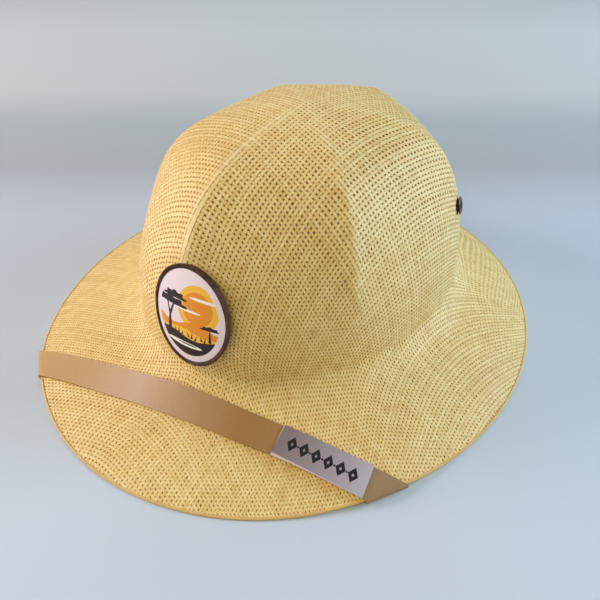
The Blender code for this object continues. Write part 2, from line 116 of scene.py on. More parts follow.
# down, reach, height, ridge, each as a share
CROWN = np.array([
    (0.00, 0.000, 1.000, 0.66),
    (0.18, 0.305, 0.968, 0.66),
    (0.36, 0.603, 0.886, 0.74),
    (0.54, 0.822, 0.711, 0.74),
    (0.70, 0.935, 0.468, 0.33),
    (0.85, 0.985, 0.217, 0.09),
    (1.00, 1.000, 0.000, 0.09),
])


def half_turns(angle):
    """The same direction as an angle between minus and plus half a turn."""
    return (angle + math.pi) % (2 * math.pi) - math.pi


def hard_ridge(angle):
    """1 on the ridge that is pressed harder, falling to 0 on the panels beside it."""
    return np.exp(-((half_turns(angle - HARD_RIDGE) / HARD_RIDGE_SPREAD) ** 2))


def hexagon(angle):
    """The reach of a hexagon with rounded corners, against its round reach."""
    half = math.pi / RIDGES
    sharp = RIDGE_SHARPNESS + (HARD_RIDGE_SHARPNESS - RIDGE_SHARPNESS) * hard_ridge(angle)
    total = sum(np.clip(np.cos(angle - half * (2 * k + 1)), 0, None) ** sharp for k in range(RIDGES))
    return (total / (2 * math.cos(half) ** sharp)) ** (-1 / sharp)


def crown_points(angle, down):
    """Points of the crown's outer face."""
    harder_here = np.exp(-(((down - HARD_RIDGE_DOWN) / HARD_RIDGE_DOWN_SPREAD) ** 2))
    ridge = eased(CROWN, 3, down) + HARD_RIDGE_REACH * hard_ridge(angle) * harder_here
    reach = eased(CROWN, 1, down) * (1 + ridge * (hexagon(angle) - 1))
    turned = angle + FRONT_RIDGE_LEAN * np.clip(np.cos(angle), 0, None) ** 4 * down**2
    return np.stack([
        reach * CROWN_WIDTH / 2 * np.sin(turned),
        CROWN_SETBACK - reach * CROWN_LENGTH / 2 * np.cos(turned),
        FOOT_HEIGHT + (HAT_HEIGHT - FOOT_HEIGHT) * eased(CROWN, 2, down),
    ], -1)


print("crown's foot at the front:", crown_points(np.array([0.0]), np.array([1.0]))[0].round(4))

# %% [markdown]
# The brim runs straight out from the crown's foot to the rim, seen from above. Seen from the side
# it drops steeply at first and then flares, along one curve that is the same all the way round.

# %% Brim
# out, drop, each as a share
BRIM = np.array([
    (0.00, 0.00), (0.08, 0.24), (0.20, 0.40), (0.40, 0.56), (0.63, 0.72), (0.83, 0.86), (1.00, 1.00),
])
SLOPE_PAST_RIM = 0.8


def rim_points(angle):
    """Points of the rim's upper edge."""
    lift = sum(
        RIM_LIFT * np.exp(-((half_turns(angle - crossing) / RIM_LIFT_SPREAD) ** 2))
        for crossing in STRAP_CROSSINGS
    )
    return np.stack([
        BRIM_WIDTH / 2 * np.sin(angle), -BRIM_LENGTH / 2 * np.cos(angle), WALL - RIM_FLAT_CUT + lift
    ], -1)


def brim_points(angle, out):
    """Points of the brim's upper face. Past out = 1 it goes straight on, for the yarns' cut ends."""
    foot, edge = crown_points(angle, np.ones_like(angle)), rim_points(angle)
    points = foot + (edge - foot) * out[..., None]
    drop = np.where(out > 1, 1 + SLOPE_PAST_RIM * (out - 1), eased(BRIM, 1, np.minimum(out, 1)))
    points[..., 2] = foot[..., 2] + (edge[..., 2] - foot[..., 2]) * drop
    return points


print("rim at the front:", rim_points(np.array([0.0]))[0].round(4))

# %% [markdown]
# Everything woven is laid on a map of the shell: a grid whose rows go round the hat and whose
# columns run from the top, down the crown and out past the rim. Each point of the map knows its
# place, its outward normal and the length of the path to it from the top. The cloth's middle
# lies half a wall under the outer face.

# %% The shell as a map
ROUND, DOWN, OUT = 480, 150, 100
FIRST_DOWN, LAST_OUT = 0.0006, 1.08
angles = np.arange(ROUND) * 2 * math.pi / ROUND
downs = np.linspace(FIRST_DOWN, 1, DOWN)
outs = np.linspace(0, LAST_OUT, OUT)[1:]
face = np.concatenate([
    crown_points(*np.meshgrid(angles, downs, indexing="ij")),
    brim_points(*np.meshgrid(angles, outs, indexing="ij")),
], 1)
around = np.roll(face, -1, 0) - np.roll(face, 1, 0)
outward = np.gradient(face, axis=1)
normals = np.cross(outward, around)
normals /= np.linalg.norm(normals, axis=2, keepdims=True)
first_step = np.linalg.norm(face[:, 0] - [0, CROWN_SETBACK, HAT_HEIGHT], axis=1)[:, None]
later_steps = np.cumsum(np.linalg.norm(np.diff(face, axis=1), axis=2), 1)
path = first_step + np.concatenate([np.zeros((ROUND, 1)), later_steps], 1)
middle = face - normals * WALL / 2
past_rim = np.concatenate([downs * 0 - 1, outs - 1])[None, :] + np.zeros((ROUND, 1))
at_rim = path[:, DOWN + np.searchsorted(outs, 1) - 1]
print(f"path from the top to the rim {at_rim.min() * 1000:.0f} to {at_rim.max() * 1000:.0f} mm")

# %% [markdown]
# How the cloth lies. A flat square cloth pressed over a dome keeps its yarns' lengths and shears
# instead, four times round. A cloth simulation could find that, but not where the maker's hands
# pulled. So the lie is set by a few slow waves round the hat, in whole yarns at five places along
# the path: how far the cloth has spread, its fourfold pull, two waves for the oval head, and
# where the cloth's middle ended up.

# %% How the cloth lies
CLOTH_PLACES = (0, 65, 170, 230, 300)
# for each wave, yarns along and across it at those places, which are in mm from the top
CLOTH_WAVES = {
    1: ((0, 24, 58, 83, 109), (0, 2, 1, 2, -4)),
    -3: ((0, 1, 4, 7, 11), (0, 0, 0, 1, 4)),
    -1: ((0, 0, 3, 0, 0), (0, -1, -1, -1, -5)),
    3: ((0, -1, -1, -3, -3), (0, 0, -1, -1, -5)),
    0: ((0, 0, 0, 3, 1), (0, -2, 3, -6, -5)),
}


def cloth_at(angle, along):
    """The cloth's own two coordinates, in yarns, as one complex number."""
    found = 0
    for wave, yarns in CLOTH_WAVES.items():
        table = np.array([CLOTH_PLACES, *yarns]).T
        found = found + np.exp(1j * wave * angle) * (
            eased(table, 1, along * 1000) + 1j * eased(table, 2, along * 1000)
        )
    return found


cloth = cloth_at(angles[:, None], path)
turn_step = (np.roll(cloth, -1, 0) - np.roll(cloth, 1, 0)) / 2
path_step = np.gradient(cloth, axis=1)
crossings_per_cell = np.abs(turn_step.real * path_step.imag - turn_step.imag * path_step.real)
print(f"about {crossings_per_cell[past_rim < 0].sum():.0f} crossings on the hat")

# %% [markdown]
# The yarns run between the map's points, so the map is read anywhere by blending the four points
# around a place. Round the hat the map closes on itself, so the column after the last is the first.

# %% Reading the map


def bilinear(field, i, j):
    """A field of the map at places (i round, j along), blended from the four points around."""
    i0, j0 = np.floor(i).astype(int), np.clip(np.floor(j).astype(int), 0, field.shape[1] - 2)
    s, t = i - i0, j - j0
    a, b = i0 % ROUND, (i0 + 1) % ROUND
    if field.ndim == 3:
        s, t = s[:, None], t[:, None]
    return (
        (1 - s) * (1 - t) * field[a, j0] + s * (1 - t) * field[b, j0]
        + (1 - s) * t * field[a, j0 + 1] + s * t * field[b, j0 + 1]
    )


first = np.array([0.0])
print("height at the map's first place:", bilinear(face, first, first)[0, 2].round(4))

# %% [markdown]
# Two yarns cross wherever both of the cloth's coordinates are whole numbers. The nearest point of
# the map is a start, and a few steps of Newton's method then find the exact place. Each yarn
# strays a little to one side, by a fixed random amount, because no hand loom is perfect.

# %% Crossings
SEED, STRAY = 7, 0.07
YARN_SLOTS = 512
NEWTON_STEPS, LONGEST_STEP, CLOSE_ENOUGH, START_WITHIN = 12, 4, 0.1, 1.0
# places stop a hair short of the map's last column
SHORT_OF_END = 1.001


def whole_crossings():
    """Each whole-numbered crossing that lies on the map, and the map point nearest to it."""
    tree = KDTree(cloth.size)
    for index, value in enumerate(cloth.ravel()):
        tree.insert((value.real, value.imag, 0), index)
    tree.balance()
    reach_u = range(math.floor(cloth.real.min()), math.ceil(cloth.real.max()) + 1)
    reach_v = range(math.floor(cloth.imag.min()), math.ceil(cloth.imag.max()) + 1)
    numbers, starts = [], []
    for u in reach_u:
        for v in reach_v:
            _, index, away = tree.find((u, v, 0))
            if away < START_WITHIN:
                numbers.append((u, v))
                starts.append(divmod(index, cloth.shape[1]))
    return np.array(numbers), np.array(starts, float).T


def find_crossings():
    """The crossings' whole numbers, and their places (i, j) on the map."""
    numbers, (i, j) = whole_crossings()
    stray = np.random.default_rng(SEED).uniform(-STRAY, STRAY, (2, YARN_SLOTS))
    slots = numbers + YARN_SLOTS // 2
    target = numbers[:, 0] + stray[0, slots[:, 0]] + 1j * (numbers[:, 1] + stray[1, slots[:, 1]])
    for _ in range(NEWTON_STEPS):
        miss = target - bilinear(cloth, i, j)
        by_i, by_j = bilinear(turn_step, i, j), bilinear(path_step, i, j)
        det = by_i.real * by_j.imag - by_i.imag * by_j.real
        step_i = (miss.real * by_j.imag - miss.imag * by_j.real) / det
        step_j = (by_i.real * miss.imag - by_i.imag * miss.real) / det
        i = i + np.clip(step_i, -LONGEST_STEP, LONGEST_STEP)
        j = np.clip(j + np.clip(step_j, -LONGEST_STEP, LONGEST_STEP), 0, cloth.shape[1] - SHORT_OF_END)
    good = np.abs(target - bilinear(cloth, i, j)) < CLOSE_ENOUGH
    return numbers[good], i[good], j[good]


crossings, grid_i, grid_j = find_crossings()
print(f"{len(crossings)} crossings found")

# %% [markdown]
# The cloth is cut at the rim and round the two vent eyelets, so that the hem and the metal rings
# cover clean ends. A signed distance says how far a place lies from the nearest cut: above 0 the
# cloth is there. Each eyelet sits where the crown's face reaches the eyelet's height.

# %% Where the cloth is cut
EYELET_ANGLE, EYELET_HEIGHT, EYELET_CUT = math.radians(118), 0.078, 0.0049
# the rim's cut as a share of the brim, and how many metres the brim runs, roughly
RIM_CUT, BRIM_RUN = -0.008, 0.04
SEARCH_FROM, SEARCH_STEPS = 0.2, 4001


def eyelet_place(side):
    """Where an eyelet sits on the crown's face."""
    shares = np.linspace(SEARCH_FROM, 1, SEARCH_STEPS)
    run = crown_points(np.full_like(shares, side * EYELET_ANGLE), shares)
    return run[np.abs(run[:, 2] - EYELET_HEIGHT).argmin()]


eyelets = {"left": eyelet_place(1), "right": eyelet_place(-1)}


def room(i, j):
    """Above 0 where a yarn may run: short of the rim and clear of the eyelets. In metres, roughly."""
    points = bilinear(middle, i, j)
    clear = -(bilinear(past_rim, i, j) - RIM_CUT) * BRIM_RUN
    for place in eyelets.values():
        clear = np.minimum(clear, np.linalg.norm(points - place, axis=1) - EYELET_CUT)
    return clear


print("eyelets at", {word: place.round(4).tolist() for word, place in eyelets.items()})

# %% [markdown]
# A yarn is a string of crossings in a row. Plain weave means that it goes over one yarn and under
# the next, so the rise changes sign at each crossing. Where a string meets a cut it gets one
# more point there, found by how the room runs out between two crossings.

# %% Yarn strings


def cut_between(i, j, clear, n):
    """Where a string meets the cut, between crossing n - 1 and crossing n."""
    share = clear[n - 1] / (clear[n - 1] - clear[n])
    gap_i = (i[n] - i[n - 1] + ROUND / 2) % ROUND - ROUND / 2
    return i[n - 1] + gap_i * share, j[n - 1] + (j[n] - j[n - 1]) * share, 0.0


def strings(family):
    """Strings of one family: each a yarn's number, and its points as (i, j, rise)."""
    across, along = (0, 1) if family == "warp" else (1, 0)
    order = np.lexsort((crossings[:, along], crossings[:, across]))
    keys, steps = crossings[order, across], crossings[order, along]
    i, j = grid_i[order], grid_j[order]
    sign = 1 - 2 * ((keys + steps) % 2)
    rise = sign if family == "warp" else -sign
    clear = room(i, j)
    inside = clear > 0
    lines, line = [], []
    for n in range(len(order)):
        joined = n > 0 and keys[n] == keys[n - 1] and steps[n] == steps[n - 1] + 1
        if joined and inside[n] != inside[n - 1]:
            line.append(cut_between(i, j, clear, n))
        if not (joined and inside[n]):
            if len(line) > 1:
                lines.append((int(keys[n - 1]), line))
            line = []
        if inside[n]:
            line.append((i[n], j[n], float(rise[n])))
    if len(line) > 1:
        lines.append((int(keys[-1]), line))
    return lines


warp, weft = strings("warp"), strings("weft")
for family, lines in (("warp", warp), ("weft", weft)):
    print(family, len({key for key, _ in lines}), "yarns in", len(lines), "strings")

# %% [markdown]
# The ridges are pressed sharp, and there the straw is drawn paler and the weave closes up. A mask
# says how near a point lies to a ridge. It is strongest on the front ridge and fades towards the
# crown's foot, where the ridges fade too.

# %% Ridge mask
RIDGE_HALF_WIDTH, OTHER_RIDGES = 0.0024, 0.3
# how far down the crown, then how strong the ridges are there
RIDGE_DOWN, RIDGE_STRENGTH = (0, 0.1, 0.6, 0.85, 1), (0, 1, 1, 0.3, 0)


def ridge_mask(i, j):
    """1 on a ridge of the crown, falling to 0 beside it and towards the foot."""
    angle = i * 2 * math.pi / ROUND
    away = (angle + math.pi / RIDGES) % (2 * math.pi / RIDGES) - math.pi / RIDGES
    radius = np.linalg.norm(bilinear(middle, i, j)[:, :2] - [0, CROWN_SETBACK], axis=1)
    down = np.interp(j, np.arange(DOWN), downs)
    strength = np.interp(down, RIDGE_DOWN, RIDGE_STRENGTH)
    front = np.round(angle * RIDGES / (2 * math.pi)) % RIDGES == 0
    strength *= np.where(front, 1, OTHER_RIDGES)
    return strength * np.exp(-((away * radius / RIDGE_HALF_WIDTH) ** 2))


print(f"ridge mask up to {ridge_mask(grid_i, grid_j).max():.2f}")

# %% [markdown]
# A yarn lies only as wide as its neighbours let it. Where the cloth is sheared the yarns of one
# family crowd together, so each point takes its width from their distance there. The block also
# pulls some panels more open than others, which a small table holds.

# %% How wide the yarns lie
NOMINAL_PITCH = 0.0024
# degrees round from the front, then how wide the yarns lie on the crown and on the brim
SPREAD = np.array([
    (-180, 1.00, 1.02), (-60, 1.05, 1.08), (-30, 1.05, 0.98), (0, 1.00, 1.08),
    (30, 0.95, 1.08), (60, 0.96, 1.04), (100, 0.98, 1.04), (180, 1.00, 1.02),
])
FOOT_ROWS = 30


def local_pitch(i, j, family):
    """Distance in metres between neighbouring yarns of a family."""
    by_turn, by_path = bilinear(turn_step, i, j), bilinear(path_step, i, j)
    p, q = (by_turn.real, by_path.real) if family == "warp" else (by_turn.imag, by_path.imag)
    e_turn, e_path = bilinear(around / 2, i, j), bilinear(outward, i, j)
    aa, bb, ab = (e_turn**2).sum(1), (e_path**2).sum(1), (e_turn * e_path).sum(1)
    return 1 / np.sqrt((p * p * bb - 2 * p * q * ab + q * q * aa) / (aa * bb - ab * ab))


def spread(i, j):
    """How far the yarns' width departs from the usual at a place."""
    degrees = (i * 360 / ROUND + 180) % 360 - 180
    crown, brim = (np.interp(degrees, SPREAD[:, 0], SPREAD[:, column]) for column in (1, 2))
    return crown + (brim - crown) * np.clip((j - DOWN + FOOT_ROWS / 2) / FOOT_ROWS, 0, 1)


pitches = local_pitch(grid_i, grid_j, "warp") * 1000
print(f"warp yarns {pitches.min():.1f} to {pitches.max():.1f} mm apart")

# %% [markdown]
# For Geometry Nodes the strings become meshes of loose edges, with what the yarns need kept on
# their points: the surface normal, the rise, the width that fits, the ridge mask and the yarn's
# own number. Each family is split in two, so that no piece gets too many triangles.

# %% String meshes
RIDGE_CLOSING, WIDTH_STRAY = 0.50, 0.06
NARROWEST, WIDEST = 0.62, 1.12


def string_mesh(name, lines, family):
    """One mesh of loose edges, each string a chain, with what the yarns need on its points."""
    i, j, rise = np.array([point for _, line in lines for point in line]).T
    yarn = np.array([key for key, line in lines for _ in line], float)
    ends = np.cumsum([len(line) for _, line in lines])
    chain = np.stack([np.arange(len(i) - 1), np.arange(1, len(i))], 1)
    chain = chain[~np.isin(chain[:, 1], ends)]
    mesh = bpy.data.meshes.new(name)
    mesh.from_pydata(bilinear(middle, i, j).tolist(), chain.tolist(), [])
    thick_or_thin = np.random.default_rng(SEED).normal(0, WIDTH_STRAY, YARN_SLOTS)
    uneven = 1 + thick_or_thin[yarn.astype(int) + YARN_SLOTS // 2]
    ridge = ridge_mask(i, j)
    closing = 1 + RIDGE_CLOSING * ridge
    share = np.clip(local_pitch(i, j, family) / NOMINAL_PITCH, NARROWEST, WIDEST)
    fit = share * uneven * closing * spread(i, j)
    for label, values in (("rise", rise), ("fit", fit), ("ridge", ridge), ("yarn", yarn)):
        mesh.attributes.new(label, "FLOAT", "POINT").data.foreach_set("value", values.ravel())
    normal = bilinear(normals, i, j)
    normal /= np.linalg.norm(normal, axis=1, keepdims=True)
    facing = mesh.attributes.new("face_normal", "FLOAT_VECTOR", "POINT")
    facing.data.foreach_set("vector", normal.ravel())
    return mesh


def half_of(lines, side):
    """The strings whose yarn number is on one side of the cloth's middle."""
    return [line for line in lines if (line[0] >= 0) == (side == "left")]


halves = {
    f"{family}_{side}": string_mesh(f"{family}_{side}", half_of(lines, side), family)
    for family, lines in (("warp", warp), ("weft", weft))
    for side in ("left", "right")
}
for name, mesh in halves.items():
    print(name, len(mesh.vertices), "points")

# %% [markdown]
# Materials and Geometry Nodes are both trees of nodes, and the same few moves come back in each
# of them: add a node, do a sum, join values to a place. A helper for each keeps the trees short.

# %% Helpers for any tree


def node(tree, kind, **settings):
    """A new node of a tree, with its settings."""
    made = tree.nodes.new(kind)
    for key, value in settings.items():
        setattr(made, key, value)
    return made


def maths(tree, operation, *values):
    """One step of arithmetic; a plain number goes on the node's own socket."""
    made = node(tree, "ShaderNodeMath", operation=operation)
    for socket, value in zip(made.inputs, values):
        if isinstance(value, (int, float)):
            socket.default_value = value
        else:
            tree.links.new(value, socket)
    return made.outputs["Value"]


def joined_xyz(tree, *values):
    """A vector from up to three values."""
    made = node(tree, "ShaderNodeCombineXYZ")
    for socket, value in zip(made.inputs, values):
        tree.links.new(value, socket)
    return made.outputs["Vector"]


print("helpers for any tree:", node.__name__, maths.__name__, joined_xyz.__name__)

# %% [markdown]
# Colours are written as a screen shows them, 0 to 255, because most programs name them so, and
# turned into the linear values that the renderer works with. Noise, ramps, mixes and bumps are
# what nearly every finish of this hat is made of.

# %% Helpers for the finishes
SKIN_DEPTH = 0.0001


def srgb(red, green, blue):
    """Linear values of a colour written 0 to 255, as a screen shows it."""
    return tuple(
        value / 12.92 if value <= 0.04045 else ((value + 0.055) / 1.055) ** 2.4
        for value in (red / 255, green / 255, blue / 255)
    )


def new_material(name):
    """A new material, its tree and its surface shader."""
    made = bpy.data.materials.new(name)
    made.use_nodes = True
    tree = made.node_tree
    return made, tree, tree.nodes["Principled BSDF"]


def kept_value(tree, name):
    """A value that the geometry keeps on its points."""
    return node(tree, "ShaderNodeAttribute", attribute_name=name).outputs["Fac"]


def noise(tree, place, scale, detail=2.0):
    """Soft random patches: the larger the scale, the finer they are."""
    made = node(tree, "ShaderNodeTexNoise")
    made.inputs["Scale"].default_value = scale
    made.inputs["Detail"].default_value = detail
    tree.links.new(place, made.inputs["Vector"])
    return made.outputs["Fac"]


def ramp(tree, factor, stops):
    """A colour ramp: (position, colour) pairs."""
    made = node(tree, "ShaderNodeValToRGB")
    elements = made.color_ramp.elements
    while len(elements) < len(stops):
        elements.new(0.5)
    for element, (position, colour) in zip(elements, stops):
        element.position = position
        element.color = (*colour, 1)
    tree.links.new(factor, made.inputs["Fac"])
    return made.outputs["Color"]


def mixed_colour(tree, factor, under, over):
    """One colour over another; a plain colour goes on the node's own socket."""
    made = node(tree, "ShaderNodeMix", data_type="RGBA")
    tree.links.new(factor, made.inputs["Factor"])
    for socket, value in ((made.inputs["A"], under), (made.inputs["B"], over)):
        if isinstance(value, tuple):
            socket.default_value = (*value, 1)
        else:
            tree.links.new(value, socket)
    return made.outputs["Result"]


def bumped(tree, height, strength):
    """A normal for the surface, from a fine height."""
    made = node(tree, "ShaderNodeBump")
    made.inputs["Strength"].default_value = strength
    made.inputs["Distance"].default_value = SKIN_DEPTH
    tree.links.new(height, made.inputs["Height"])
    return made.outputs["Normal"]


print("a middle grey is", [round(value, 3) for value in srgb(128, 128, 128)])

# %% [markdown]
# Straw, tape and satin all show fine threads that run one way. They share one node group: noise
# that is stretched along the threads. It puts out only a mask, and each material places it with
# its own stretch and says for itself what the mask does.

# %% Fibres


def fibre_group():
    """Fine fibres along one direction of a flat place, as a mask."""
    group = bpy.data.node_groups.new("fibres", "ShaderNodeTree")
    sockets = group.interface
    sockets.new_socket("Place", in_out="INPUT", socket_type="NodeSocketVector")
    sockets.new_socket("Stretch", in_out="INPUT", socket_type="NodeSocketVector")
    sockets.new_socket("Fibre", in_out="OUTPUT", socket_type="NodeSocketFloat")
    source, sink = node(group, "NodeGroupInput"), node(group, "NodeGroupOutput")
    scaled = node(group, "ShaderNodeVectorMath", operation="MULTIPLY")
    group.links.new(source.outputs["Place"], scaled.inputs[0])
    group.links.new(source.outputs["Stretch"], scaled.inputs[1])
    group.links.new(noise(group, scaled.outputs["Vector"], 1.0, 3.0), sink.inputs["Fibre"])
    return group


fibres = fibre_group()


def fibre_mask(tree, place, stretch):
    """The fibres placed in a material: more of them to the metre where the stretch is larger."""
    made = node(tree, "ShaderNodeGroup", node_tree=fibres)
    made.inputs["Stretch"].default_value = stretch
    tree.links.new(place, made.inputs["Place"])
    return made.outputs["Fibre"]


print("fibre group:", [item.name for item in fibres.interface.items_tree])

# %% [markdown]
# Straw yarn is flat and dull, each one its own tone, with fine fibres along it and drawn paler on
# the ridges. Down its sides, in the holes of the weave, it is painted deep brown as shade, so that
# the holes read dark. The yarns tell the finish what it needs through values on their points: which
# yarn it is, how near a ridge, how far along, and how high and how far to the side of the yarn's
# section.

# %% Straw
STRAW_DARK, STRAW_MID, STRAW_PALE = srgb(230, 194, 118), srgb(243, 213, 140), srgb(249, 225, 158)
# the deep brown of the yarns' sides is painted shade, so that the holes of the weave read dark
STRAW_SIDE_PAINTED_SHADE, STRAW_RIDGE_PALE = srgb(186, 126, 38), srgb(252, 240, 205)
TOP_FROM, TOP_TO = 0.24, 0.34
SHADE_SHARE, RIDGE_PALE_SHARE, STRAW_PATCHES = 0.40, 0.20, 160.0
STRAW_STRETCH = (700.0, 14.0, 1.0)


def straw_material():
    """Straw of many tones, paler on the ridges, with painted shade in deep brown down the yarns' sides."""
    made, tree, shader = new_material("straw")
    place = node(tree, "ShaderNodeTexCoord").outputs["Object"]
    yarn = kept_value(tree, "yarn")
    shade = node(tree, "ShaderNodeTexWhiteNoise", noise_dimensions="1D")
    tree.links.new(yarn, shade.inputs["W"])
    patches = noise(tree, place, STRAW_PATCHES, 4.0)
    varied = maths(tree, "MULTIPLY_ADD", shade.outputs["Value"], SHADE_SHARE, patches)
    colour = ramp(tree, varied, ((0.35, STRAW_DARK), (0.70, STRAW_MID), (1.00, STRAW_PALE)))
    # the straw's colour is drawn paler towards the ridges, most on the front ridge
    paler_on_ridges = maths(tree, "MULTIPLY", kept_value(tree, "ridge"), RIDGE_PALE_SHARE)
    colour = mixed_colour(tree, paler_on_ridges, colour, STRAW_RIDGE_PALE)
    on_top = node(tree, "ShaderNodeMapRange", interpolation_type="SMOOTHSTEP")
    on_top.inputs["From Min"].default_value = TOP_FROM
    on_top.inputs["From Max"].default_value = TOP_TO
    tree.links.new(maths(tree, "ABSOLUTE", kept_value(tree, "top")), on_top.inputs["Value"])
    # painted shade: below the top of a yarn's section the straw turns deep brown
    colour = mixed_colour(tree, on_top.outputs["Result"], STRAW_SIDE_PAINTED_SHADE, colour)
    tree.links.new(colour, shader.inputs["Base Color"])
    lie = joined_xyz(tree, kept_value(tree, "along"), kept_value(tree, "side"), yarn)
    grain = bumped(tree, fibre_mask(tree, lie, STRAW_STRETCH), 0.35)
    tree.links.new(grain, shader.inputs["Normal"])
    shader.inputs["Roughness"].default_value = 0.6
    return made


straw = straw_material()
print("straw finish:", len(straw.node_tree.nodes), "nodes")

# %% [markdown]
# The yarn's section starts as a ring of six points. Its upper half is pressed nearly flat. Its
# lower half is drawn down into steep sides that widen, so that the holes of the weave are deep
# and close towards the inside, where the light can't get out again.

# %% Section of a yarn
STRAW_YARN_WIDTH, STRAW_YARN_THICK, STRAW_YARN_DEPTH = 0.00177, 0.00044, 0.00100
STRAW_FLARE, STRAW_RISE = 0.36, 0.00009
RING_SIDES, SIDE_STEEPNESS = 6, 3.8


def stored(tree, name, geometry, value):
    """Keeps a value on the points of a geometry under a name, for the finish to read."""
    made = node(tree, "GeometryNodeStoreNamedAttribute", data_type="FLOAT", domain="POINT")
    made.inputs["Name"].default_value = name
    tree.links.new(geometry, made.inputs["Geometry"])
    tree.links.new(value, made.inputs["Value"])
    return made.outputs["Geometry"]


def place_of_points(tree):
    """The X, Y and Z of a geometry's points."""
    made = node(tree, "ShaderNodeSeparateXYZ")
    tree.links.new(node(tree, "GeometryNodeInputPosition").outputs["Position"], made.inputs["Vector"])
    return made.outputs


def yarn_section(tree, sizes):
    """The ring that is swept along each yarn, with X up from the cloth and Y to the side."""
    ring = node(tree, "GeometryNodeCurvePrimitiveCircle", mode="RADIUS")
    ring.inputs["Resolution"].default_value = RING_SIDES
    ring.inputs["Radius"].default_value = 0.5
    up, side, _ = place_of_points(tree)
    kept = stored(tree, "top", ring.outputs["Curve"], up)
    kept = stored(tree, "side", kept, side)
    above = maths(tree, "MULTIPLY", maths(tree, "MAXIMUM", up, 0.0), sizes["Thickness"])
    steep = maths(tree, "MULTIPLY", maths(tree, "MINIMUM", up, 0.0), SIDE_STEEPNESS)
    under = maths(tree, "MAXIMUM", steep, -1.0)
    below = maths(tree, "MULTIPLY", under, sizes["Depth"])
    flare = maths(tree, "SUBTRACT", 1.0, maths(tree, "MULTIPLY", under, sizes["Flare"]))
    wide = maths(tree, "MULTIPLY", maths(tree, "MULTIPLY", side, sizes["Width"]), flare)
    shaped = node(tree, "GeometryNodeSetPosition")
    tree.links.new(kept, shaped.inputs["Geometry"])
    tree.links.new(joined_xyz(tree, maths(tree, "ADD", above, below), wide), shaped.inputs["Position"])
    return shaped.outputs["Geometry"]


print(f"a yarn is {STRAW_YARN_WIDTH * 1000:.2f} mm wide with sides {STRAW_YARN_DEPTH * 1000:.1f} mm deep")

# %% [markdown]
# Before the sweep each crossing is lifted over or under its neighbour along the surface normal,
# and the curve is told which way is up, so that a yarn lies flat on the hat and doesn't twist.
# After the sweep, what would sink to the plane that the hat rests on is pressed to just above it.

# %% Laying and resting the yarns
YARN_LOWEST, CRISP_EDGE = 0.0003, math.radians(50)


def point_value(tree, name, kind="FLOAT"):
    """A named value on the points of the string meshes."""
    made = node(tree, "GeometryNodeInputNamedAttribute", data_type=kind)
    made.inputs["Name"].default_value = name
    return made.outputs["Attribute"]


def laid_curves(tree, strings_in, rise):
    """The strings as curves, over and under, with their upper side known."""
    normal = point_value(tree, "face_normal", "FLOAT_VECTOR")
    offset = node(tree, "ShaderNodeVectorMath", operation="SCALE")
    tree.links.new(normal, offset.inputs[0])
    tree.links.new(maths(tree, "MULTIPLY", point_value(tree, "rise"), rise), offset.inputs["Scale"])
    moved = node(tree, "GeometryNodeSetPosition")
    tree.links.new(strings_in, moved.inputs["Geometry"])
    tree.links.new(offset.outputs["Vector"], moved.inputs["Offset"])
    curve = node(tree, "GeometryNodeMeshToCurve")
    tree.links.new(moved.outputs["Geometry"], curve.inputs["Mesh"])
    length = node(tree, "GeometryNodeSplineParameter").outputs["Length"]
    facing = node(tree, "GeometryNodeSetCurveNormal", mode="FREE")
    tree.links.new(stored(tree, "along", curve.outputs["Curve"], length), facing.inputs["Curve"])
    tree.links.new(normal, facing.inputs["Normal"])
    return facing.outputs["Curve"]


def rested(tree, mesh):
    """The mesh with no point lower than the yarns may go."""
    x, y, z = place_of_points(tree)
    made = node(tree, "GeometryNodeSetPosition")
    tree.links.new(mesh, made.inputs["Geometry"])
    tree.links.new(joined_xyz(tree, x, y, maths(tree, "MAXIMUM", z, YARN_LOWEST)), made.inputs["Position"])
    return made.outputs["Geometry"]


def smooth_but_crisp(tree, mesh):
    """Smooth shading, but for the edges that bend sharply."""
    smooth = node(tree, "GeometryNodeSetShadeSmooth")
    tree.links.new(mesh, smooth.inputs["Geometry"])
    gentle = node(tree, "FunctionNodeCompare", data_type="FLOAT", operation="LESS_THAN")
    bend = node(tree, "GeometryNodeInputMeshEdgeAngle")
    tree.links.new(bend.outputs["Unsigned Angle"], gentle.inputs["A"])
    gentle.inputs["B"].default_value = CRISP_EDGE
    crisp = node(tree, "GeometryNodeSetShadeSmooth", domain="EDGE")
    tree.links.new(smooth.outputs["Geometry"], crisp.inputs["Geometry"])
    tree.links.new(gentle.outputs["Result"], crisp.inputs["Shade Smooth"])
    return crisp.outputs["Geometry"]


print(f"yarns stay {YARN_LOWEST * 1000:.1f} mm or more above the plane under the hat")

# %% [markdown]
# One tree then makes all of the cloth: lay the strings, sweep the section along them, scaled by
# the width that fits at each point, and rest the result. Its sizes are named inputs, so that they
# can be tried out in Blender. It ends in real geometry with the straw on it.

# %% The yarn tree


